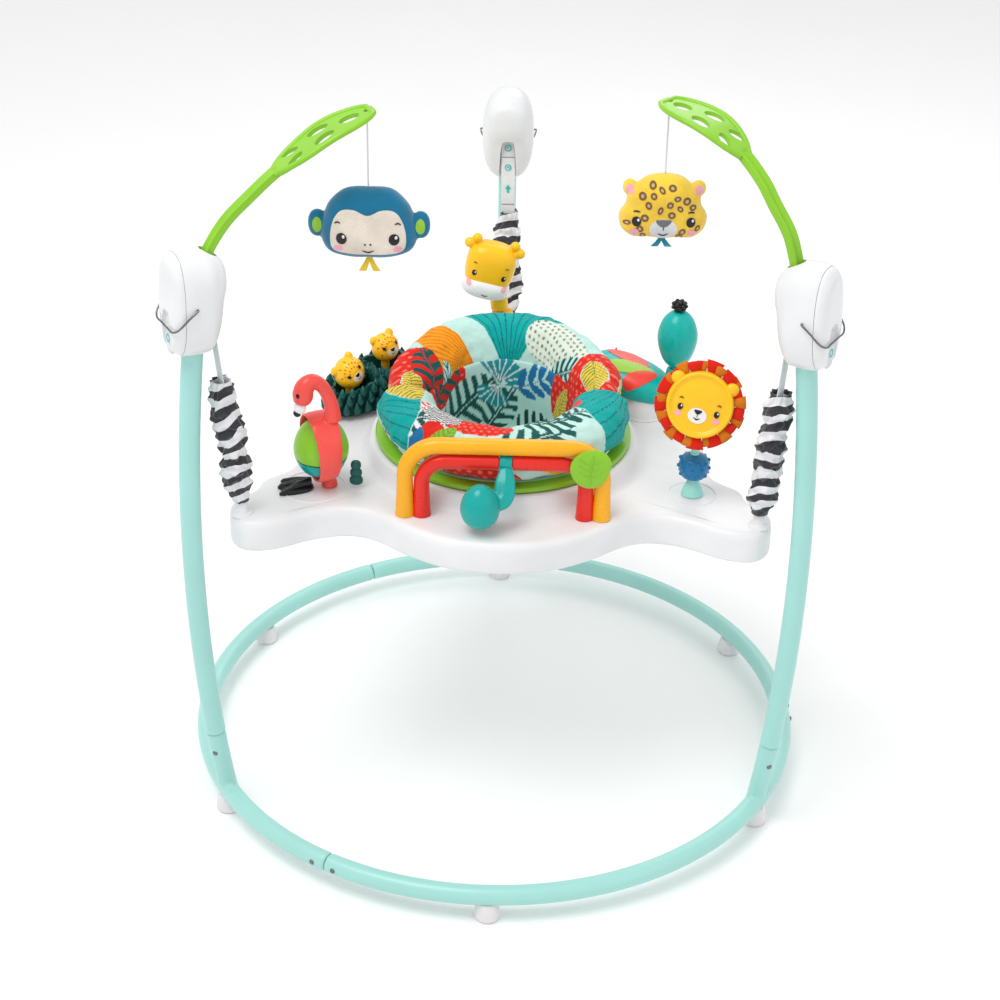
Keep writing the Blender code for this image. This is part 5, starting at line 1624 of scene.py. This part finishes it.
def flamingo():
    centre = Vector((-0.2195, -0.110, 0.4965))
    facing = Vector((cos(radians(205)), sin(radians(205)), 0))
    across = facing.cross(Vector((0, 0, 1))).normalized()
    rings = []
    for t in around(72):
        out = across * (cos(t) * 0.86) + Vector((0, 0, 1)) * sin(t)
        half = 0.0150 + 0.003 * sin(t)
        ring = []
        for k in range(20):
            s = tau * k / 20
            d = half * squared(cos(s), 0.5)
            crown = 0.0012 * (1 - (d / half) ** 2)
            r = 0.0432 + (0.0017 + crown) * abs(sin(s)) ** 0.6 * (1 if sin(s) > 0 else -0.8)
            ring.append(centre + out * r + facing * d)
        rings.append(ring)
    hoop = loft("hoop", rings, looped=True)
    top = centre + across * -0.010 + facing * -0.006 + Vector((0.004, 0, 0))
    path = smooth([
        top + Vector((0.002, 0, 0.0405)), top + Vector((0.001, 0, 0.062)), top + facing * 0.009 + Vector((0, 0, 0.086)),
        top + facing * 0.022 + Vector((0, 0, 0.096)), top + facing * 0.0330 + Vector((0, 0, 0.088)),
        top + facing * 0.0370 + Vector((0, 0, 0.071)),
    ], 48)
    radii = smooth_list([0.0115, 0.0088, 0.0084, 0.0098, 0.0122, 0.0100], 48)
    neck = tube("neck", path, radii, 28)
    head = blob("head", top + facing * 0.0345 + Vector((0, 0, 0.081)), (0.0128, 0.0125, 0.0150))
    heel = lathe("heel", rounded([
        (0.0001, DECK + 0.0004), (0.0098, DECK + 0.0004), (0.0090, DECK + 0.008), (0.0075, DECK + 0.018),
    ], 12), (centre.x + 0.009, centre.y + 0.002, 0), count=28)
    pin = lathe("pin", [(0.0028, 0.0385), (0.0028, 0.0430)], centre, count=20)
    skin = remeshed(merged("flamingo", [neck, head, hoop, heel, pin]), 0.0010, 4)
    target = surface(skin)
    put("flamingo_skin", skin, "coral", "tray", ["flamingo_body"], sharp=0)
    beak_at = top + facing * 0.0390 + Vector((0, 0, 0.0640))
    beak = blob("beak", beak_at, (0.0080, 0.0070, 0.0085), rows=20, count=28)
    put("flamingo_beak", beak, "muzzle", "tray")
    tip = blob("tip", beak_at + facing * 0.0035 + Vector((0, 0, -0.0065)), (0.0050, 0.0046, 0.0052), rows=20, count=28)
    put("flamingo_beak_tip", tip, "black", "tray")
    plane = (top + facing * 0.0345 + Vector((0, 0, 0.081)), (1, 0, 0), (0, 0, 1), (0, -1, 0))
    decal("flamingo_eye", "black", "tray", [oval(-0.0050, 0.0030, 0.0022, 0.0028)], plane, target, 0.0006)
    egg_profile = rounded([
        (0.0001, -0.0386), (0.0120, -0.0375), (0.0250, -0.0290), (0.0330, -0.0120), (0.0338, 0.0040),
        (0.0270, 0.0220), (0.0150, 0.0345), (0.0001, 0.0387),
    ], 60)
    split_at = -0.0125
    high = [(r, d) for r, d in egg_profile if d >= split_at]
    low = [(r, d) for r, d in egg_profile if d < split_at]
    put("egg_top", lathe("egg", [(0.0001, high[0][1])] + high, centre, count=64), "lime", "flamingo_egg",
        ["flamingo_ball"])
    put("egg_bottom", lathe("egg", low + [(0.0001, low[-1][1])], centre, count=64), "teal", "flamingo_egg")
    toes = plush_outline([
        (0.006, -0.010), (-0.012, -0.019), (-0.030, -0.022), (-0.024, -0.0115), (-0.0345, -0.004), (-0.0255, 0.002),
        (-0.0325, 0.012), (-0.018, 0.0145), (0.000, 0.011), (0.010, 0.003),
    ])
    at = Vector((-0.2400, -0.1170, DECK))
    sole = []
    middle = Vector((-0.008, -0.002, 0))
    for share, height in ((0.96, 0.0004), (1.0, 0.0016), (0.98, 0.0044), (0.86, 0.0058), (0.40, 0.0072), (0.1, 0.0076)):
        sole.append([at + middle + (Vector((p.x, p.z, 0)) - middle) * share + Vector((0, 0, height)) for p in toes])
    feet_parts = [loft("feet", sole)]
    for x, y in ((-0.0270, -0.0200), (-0.0315, -0.0040), (-0.0290, 0.0105)):
        path = smooth([at + Vector((0.006, 0, 0.0100)), at + Vector((x * 0.4, y * 0.5, 0.0085)),
                       at + Vector((x, y, 0.0040))], 16)
        feet_parts.append(tube("toe", path, smooth_list([0.0060, 0.0044, 0.0030], 16), 16))
    put("webbed_feet", merged("feet", feet_parts), "black", "tray", ["flamingo_feet"], sharp=60)
    sprig = [blob("leaf", (centre.x + 0.043, centre.y - 0.004, 0.452 + 0.0105 * i),
                  (0.0085 - 0.001 * i, 0.0040, 0.0068), power=2.4, rows=14, count=20) for i in range(3)]
    put("flamingo_sprig", merged("sprig", sprig), "forest", "tray")


def spotted_cub(name, at, size, roll, nodes):
    """A rounded cub's head with small ears, a pale muzzle and dark spots, leaning by roll about its facing."""
    facing = Vector((0.55, -0.78, 0.25)).normalized()
    right = facing.cross(Vector((0, 0, 1))).normalized() * -1
    up = right.cross(facing) * (1 if right.cross(facing).z > 0 else -1)
    t = radians(roll)
    right, up = right * cos(t) + up * sin(t), up * cos(t) - right * sin(t)
    parts = [blob("head", at, (0.0185 * size, 0.0190 * size, 0.0192 * size), power=2.15, rows=34, count=48)]
    for sign in (-1, 1):
        spot = at + right * (sign * 0.0128 * size) + up * (0.0150 * size)
        parts.append(blob("ear", spot, (0.0058, 0.0054, 0.0066), rows=18, count=24))
    parts.append(tube("stem", [at + Vector((0, 0, -0.012)), Vector((at.x, at.y, DECK + 0.0190))], 0.0060, 20))
    skin = remeshed(merged("cub", parts), 0.0009, 3)
    target = surface(skin)
    put(f"{name}_skin", skin, "sun", "cubs", nodes, sharp=0)
    plane = (at, right, up, facing)
    dark = pair(0.0100, 0.0035, 0.0020, 0.0025)
    dark.append(flat([(-0.0034, 0.0000), (0.0034, 0.0000), (0.0016, -0.0034), (0, -0.0042), (-0.0016, -0.0034)], 28))
    dark.append(mouth([(-0.0034, -0.0066), (0, -0.0080)], 0.0007))
    spots = []
    for ring, count, start in ((0.0075, 5, 30), (0.0125, 8, 20), (0.0160, 9, 5)):
        for k in range(count):
            t = radians(start + (180 - 2 * start) * k / (count - 1) if ring < 0.015 else start + 40 * k)
            spots.append(oval(ring * size * cos(t), 0.002 + ring * size * sin(t), 0.0010, 0.0012, 0, 12))
    marks(name, "cubs", plane, target, [
        ("muzzle", "muzzle", [oval(0, -0.0050, 0.0080, 0.0057)], 0.0007, 5),
        ("features", "black", dark, 0.0012),
        ("spots", "orange", spots, 0.0004),
    ])


def bush():
    place = Matrix.Translation((-0.1806, 0.1291, DECK)) @ Matrix.Rotation(radians(50), 4, "Z")
    rings = []
    layers = [
        (0.058, 0.027, 0.0004), (0.063, 0.0300, 0.006), (0.0675, 0.0310, 0.022), (0.0655, 0.0300, 0.036),
        (0.0640, 0.0290, None), (0.0600, 0.0250, None), (0.0600, 0.0240, 0.030), (0.056, 0.0235, 0.006),
    ]
    for row, (a, b, z) in enumerate(layers):
        ring = []
        for t in around(144):
            rib = 1 + (0.018 * sin(18 * t) + 0.012 * sin(41 * t)) * (1 if row < 5 else 0)
            height = z if z is not None else min(0.0555, 0.0440 + 0.0130 * cos(t) + 0.0035 * abs(sin(9 * t)))
            ring.append((a * rib * cos(t), b * rib * sin(t), height))
        rings.append(ring)
    planter = loft("planter", rings)
    leaves = []
    front, rear = (-0.0350, 0.056), (0.034, 0.070)

    def leaf(base, out, high, fat):
        """One pointed leaf that leans outward, then stands up."""
        path = [base, base + out * high * 0.42 + Vector((0, 0, high * 0.5)),
                base + out * high * 0.34 + Vector((0, 0, high))]
        leaves.append(tube("leaf", smooth(path, 8), smooth_list([fat * 0.55, fat, fat * 0.2], 8), 8))

    for t in around(24):
        out = Vector((cos(t) * 0.5, sin(t), 0)).normalized()
        for row in range(3):
            a, b = 0.0655 - 0.001 * row, 0.0295 - 0.0005 * row
            high = 0.020 if row < 2 else 0.016 + 0.010 * (0.5 + 0.5 * cos(t))
            leaf(Vector((a * cos(t + row * 0.09), b * sin(t + row * 0.09), 0.005 + 0.012 * row)), out, high, 0.0050)
    for k in range(90):
        t, share = k * GOLDEN_ANGLE, sqrt((k + 0.5) / 90)
        x, y = 0.0600 * share * cos(t), 0.0255 * share * sin(t)
        rise = 0.0300 + 0.012 * x / 0.06 + 0.008 * (1 - share)
        high = 0.021 + 0.004 * sin(k * 1.7)
        for cub_x, cub_z in (front, rear):
            under = 0.0330**2 - (x - cub_x) ** 2 - y * y
            if under > 0:
                high = min(high, cub_z - sqrt(under) - rise)
        if high > 0.005 and (x - rear[0]) ** 2 + y * y > 0.020**2:
            leaf(Vector((x, y, rise)), Vector((cos(t) * 0.6, sin(t), 0)), high, 0.0056)
    mesh = merged("bush", [planter, *leaves])
    put("leafy_bush", mesh, "forest", "tray", ["bush"], place, 50)
    spotted_cub("front_cub", place @ Vector((front[0], 0, front[1])), 1.10, 34, ["cub_front"])
    spotted_cub("rear_cub", place @ Vector((rear[0], 0, rear[1])), 1.0, 14, ["cub_rear"])
    bar = blob("bar", (0, 0, 0.0155), (0.0420, 0.0070, 0.0030), power=6.0, rows=16, count=40)
    put("seesaw_bar", bar, "sun", "cubs", place=place)


def giraffe():
    y = 0.240
    neck = rounded([(0.0200, DECK + 0.0004), (0.0192, 0.446), (0.0160, 0.458), (0.0148, 0.490), (0.0145, 0.5285)], 30)
    for i, (r, z) in enumerate(neck):
        neck[i] = (r + 0.0004 * sin(z * 900) * (0.47 < z < 0.52), z)
    stand = lathe("neck", [(0.0001, DECK + 0.0004)] + neck + [(0.0001, 0.5288)], (-0.0020, y, 0), count=40)
    pivot = (-0.0050, y, NOD_Z)
    ball = blob("ball", pivot, (0.0090, 0.0090, 0.0090), rows=24, count=36)
    put("giraffe_stand", merged("stand", [stand, ball]), "sun", "tray", ["giraffe_neck"])
    centre = Vector((-0.0205, y, 0.5925))
    turn = Matrix.Rotation(radians(13), 4, "Y")
    place = Matrix.Translation(centre) @ turn

    def wedge(p):
        return Vector((p.x * (1.0 + 0.05 * p.z), p.y, p.z))

    parts = [blob("skull", (0, 0, 0.003), (0.0340, 0.0255, 0.0350), power=2.8, rows=40, count=60, shape=wedge)]
    knobs = ((-0.0345, 0.0310, 0.0080), (-0.0265, 0.0400, 0.0070), (0.0265, 0.0400, 0.0070), (0.0345, 0.0310, 0.0080))
    for x, z, size in knobs:
        parts.append(blob("knob", (x, -0.002, z), (size, 0.0068, size * 0.92), rows=20, count=28))
    for mesh in parts:
        mesh.transform(place)
    parts.append(tube("stem", [(-0.0060, y, 0.5332), (-0.0100, y, 0.575)], 0.0122, 28))
    jaw = blob("jaw", (0, -0.005, -0.0245), (0.0335, 0.0250, 0.0160), power=2.5, rows=36, count=60)
    jaw.transform(place)
    socket = blob("socket", pivot, (0.0097, 0.0097, 0.0097), rows=24, count=36)
    head = boolean(remeshed(merged("giraffe", parts), 0.0011, 4), [socket])
    chin = remeshed(merged("jaw", [jaw]), 0.0011, 2)
    put("giraffe_face", head, "sun", "giraffe", ["giraffe_head"], sharp=0)
    put("giraffe_jaw", chin, "muzzle", "giraffe", sharp=0)
    both = merged("both", [head, chin])
    both.transform(Matrix.Translation(-ORIGIN))
    both = surface(both)
    plane = (centre, turn @ Vector((1, 0, 0)), turn @ Vector((0, 0, 1)), Vector((0, -1, 0)))
    dark = pair(0.0205, -0.0020, 0.0031, 0.0041)
    dark += brows([(0.0195, 0.0115), (0.0222, 0.0130), (0.0246, 0.0116)], 0.0009)
    dark.append(mouth([(-0.0046, -0.0285), (0, -0.0302)], 0.0009))
    marks("giraffe", "giraffe", plane, both, [
        ("features", "black", dark, 0.0006),
        ("glints", "muzzle", pair(0.0205, -0.0006, 0.0009, 0.0013, 0.0013), 0.0011),
        ("cheeks", "blush", pair(0.0245, -0.0175, 0.0037, 0.0037), 0.0006),
    ])


def bird():
    x, y = 0.2320, 0.120
    turn = Matrix.Rotation(radians(-28), 4, "Z") @ Matrix.Rotation(radians(12), 4, "Y")
    tail = blob("tail", (0.1735, 0.131, 0.4850), (0.0615, 0.0380, 0.0235), turn, power=2.3, rows=44, count=72)
    neck = lathe("neck", rounded([
        (0.0001, 0.470), (0.0150, 0.470), (0.0130, 0.488), (0.0112, 0.5048), (0.0001, 0.5052),
    ], 24), (x, y, 0), count=32)
    skin = remeshed(merged("tail", [tail, neck]), 0.0013, 4)
    for v in skin.vertices:
        v.co.z = max(v.co.z, DECK + 0.0006)
    target = surface(skin)
    put("bird_tail", skin, "aqua", "tray", ["bird_housing"], sharp=0)
    plinth = lathe("plinth", rounded([
        (0.0001, DECK + 0.0004), (0.0310, DECK + 0.0004), (0.0318, DECK + 0.004), (0.0300, 0.456), (0.0260, 0.4700),
    ], 20), (0.1920, 0.117, 0), count=48)
    put("bird_plinth", plinth, "shell", "tray")
    centre = Vector((0.1750, 0.130, 0.4900))
    facing = Vector((0.05, -0.45, 0.89)).normalized()
    right = Vector((0.88, -0.47, 0.0))
    right = (right - facing * right.dot(facing)).normalized()
    up = facing.cross(right)
    plane = (centre, right, up, facing)
    hub = Vector((0.036, 0.006))

    def panel(angle, near, far, half):
        t = radians(angle)
        ahead, side = Vector((cos(t), sin(t))), Vector((-sin(t), cos(t)))
        points = []
        for k in range(40):
            s = tau * k / 40
            along = (near + far) / 2 + (far - near) / 2 * cos(s)
            wide = half * sin(s) * (0.65 + 0.35 * (along - near) / (far - near))
            points.append(tuple(hub + ahead * along + side * wide))
        return points

    marks("tail", "tray", plane, target, [
        ("coral", "coral", [panel(168, 0.018, 0.084, 0.0165)], 0.0009, 8),
        ("lime", "panel_lime", [panel(197, 0.008, 0.074, 0.0145)], 0.0009, 8),
        ("red", "panel_red", [panel(230, 0.004, 0.054, 0.0145)], 0.0009, 8),
    ])
    body = rounded([
        (0.0001, 0.5082), (0.0085, 0.5090), (0.0185, 0.5200), (0.0255, 0.5400), (0.0262, 0.5580), (0.0200, 0.5760),
        (0.0095, 0.5865), (0.0001, 0.5880),
    ], 50)
    egg = lathe("egg", body, (x, y, 0), count=56)
    put("bird_egg", egg, "aqua", "bird", ["bird_body"])
    curls = []
    for i in range(26):
        t = i * GOLDEN_ANGLE
        h = 1 - 2 * (i + 0.5) / 26
        r = sqrt(max(0, 1 - h * h))
        spot = Vector((x + 0.0085 * r * cos(t), y + 0.0085 * r * sin(t), 0.5955 + 0.0065 * h))
        curls.append(blob("curl", spot, (0.0030, 0.0030, 0.0028), rows=8, count=12))
    curls.append(blob("core", (x, y, 0.5950), (0.0085, 0.0085, 0.0070), rows=16, count=24))
    put("curly_crest", merged("crest", curls), "black", "bird", ["bird_crest"], sharp=60)


# ---------------------------------------------------------------- camera, light and floor


def area(name, place, aim, size, power, colour=(1, 1, 1)):
    data = bpy.data.lights.new(name, "AREA")
    data.shape = "DISK"
    data.size = size
    data.energy = power
    data.color = colour
    obj = added(name, data)
    obj.location = place
    obj.rotation_euler = (Vector(aim) - Vector(place)).to_track_quat("-Z", "Y").to_euler()


def studio():
    # The eye's place and directions were solved from the base ring, a true circle that lies on the floor.
    camera = bpy.data.cameras.new("camera")
    camera.lens = 69.98
    camera.sensor_width = 36
    camera.clip_end = 50
    eye = added("camera", camera)
    ahead = Vector((-0.00882, 0.87066, -0.49180)).normalized()
    right = Vector((0.99968, 0.01936, 0.01635))
    right = (right - ahead * right.dot(ahead)).normalized()
    up = right.cross(ahead)
    turn = Matrix((right, up, -ahead)).transposed().to_4x4()
    eye.matrix_world = Matrix.Translation(Vector((0.02467, -2.23335, 1.62521)) + ORIGIN) @ turn
    bpy.context.scene.camera = eye
    floor = loft("floor", [circle(Vector((0, 0, z)), Vector((1, 0, 0)), Vector((0, 1, 0)), 14.0, 64)
                           for z in (-0.01, 0.0)])
    paint = Paint("pale_floor")
    paint.colour(paint.vary((0.965, 0.965, 0.965), 0.005, 2))
    paint.rough(0.6, 0.7, 3)
    floor.materials.append(paint.made)
    added("floor", floor)
    world = bpy.data.worlds.new("studio")
    world.use_nodes = True
    sky = world.node_tree.nodes["Background"].inputs
    sky["Color"].default_value = (1.0, 1.0, 1.0, 1)
    sky["Strength"].default_value = 0.84
    bpy.context.scene.world = world
    bpy.context.scene.view_settings.view_transform = "Standard"
    area("key", (-1.0, -0.9, 3.2), (0, 0, 0.3), 1.8, 44)
    area("fill", (2.2, -1.6, 1.8), (0, 0, 0.4), 2.0, 4)
    area("rim", (0.6, 2.4, 2.4), (0, 0, 0.5), 1.8, 12)


def build():
    studio()
    base()
    snap_buttons()
    feet()
    towers()
    for number, side in enumerate(SIDES):
        sleeve(side, 1.3 + 2.1 * number)
    left, right = (leaf_arm(side) for side in ("left", "right"))
    monkey(left)
    leopard(right)
    tray()
    seat_frame()
    seat_fabric()
    arch()
    paddle()
    leaf_disc()
    lion()
    flamingo()
    bush()
    giraffe()
    bird()


build()
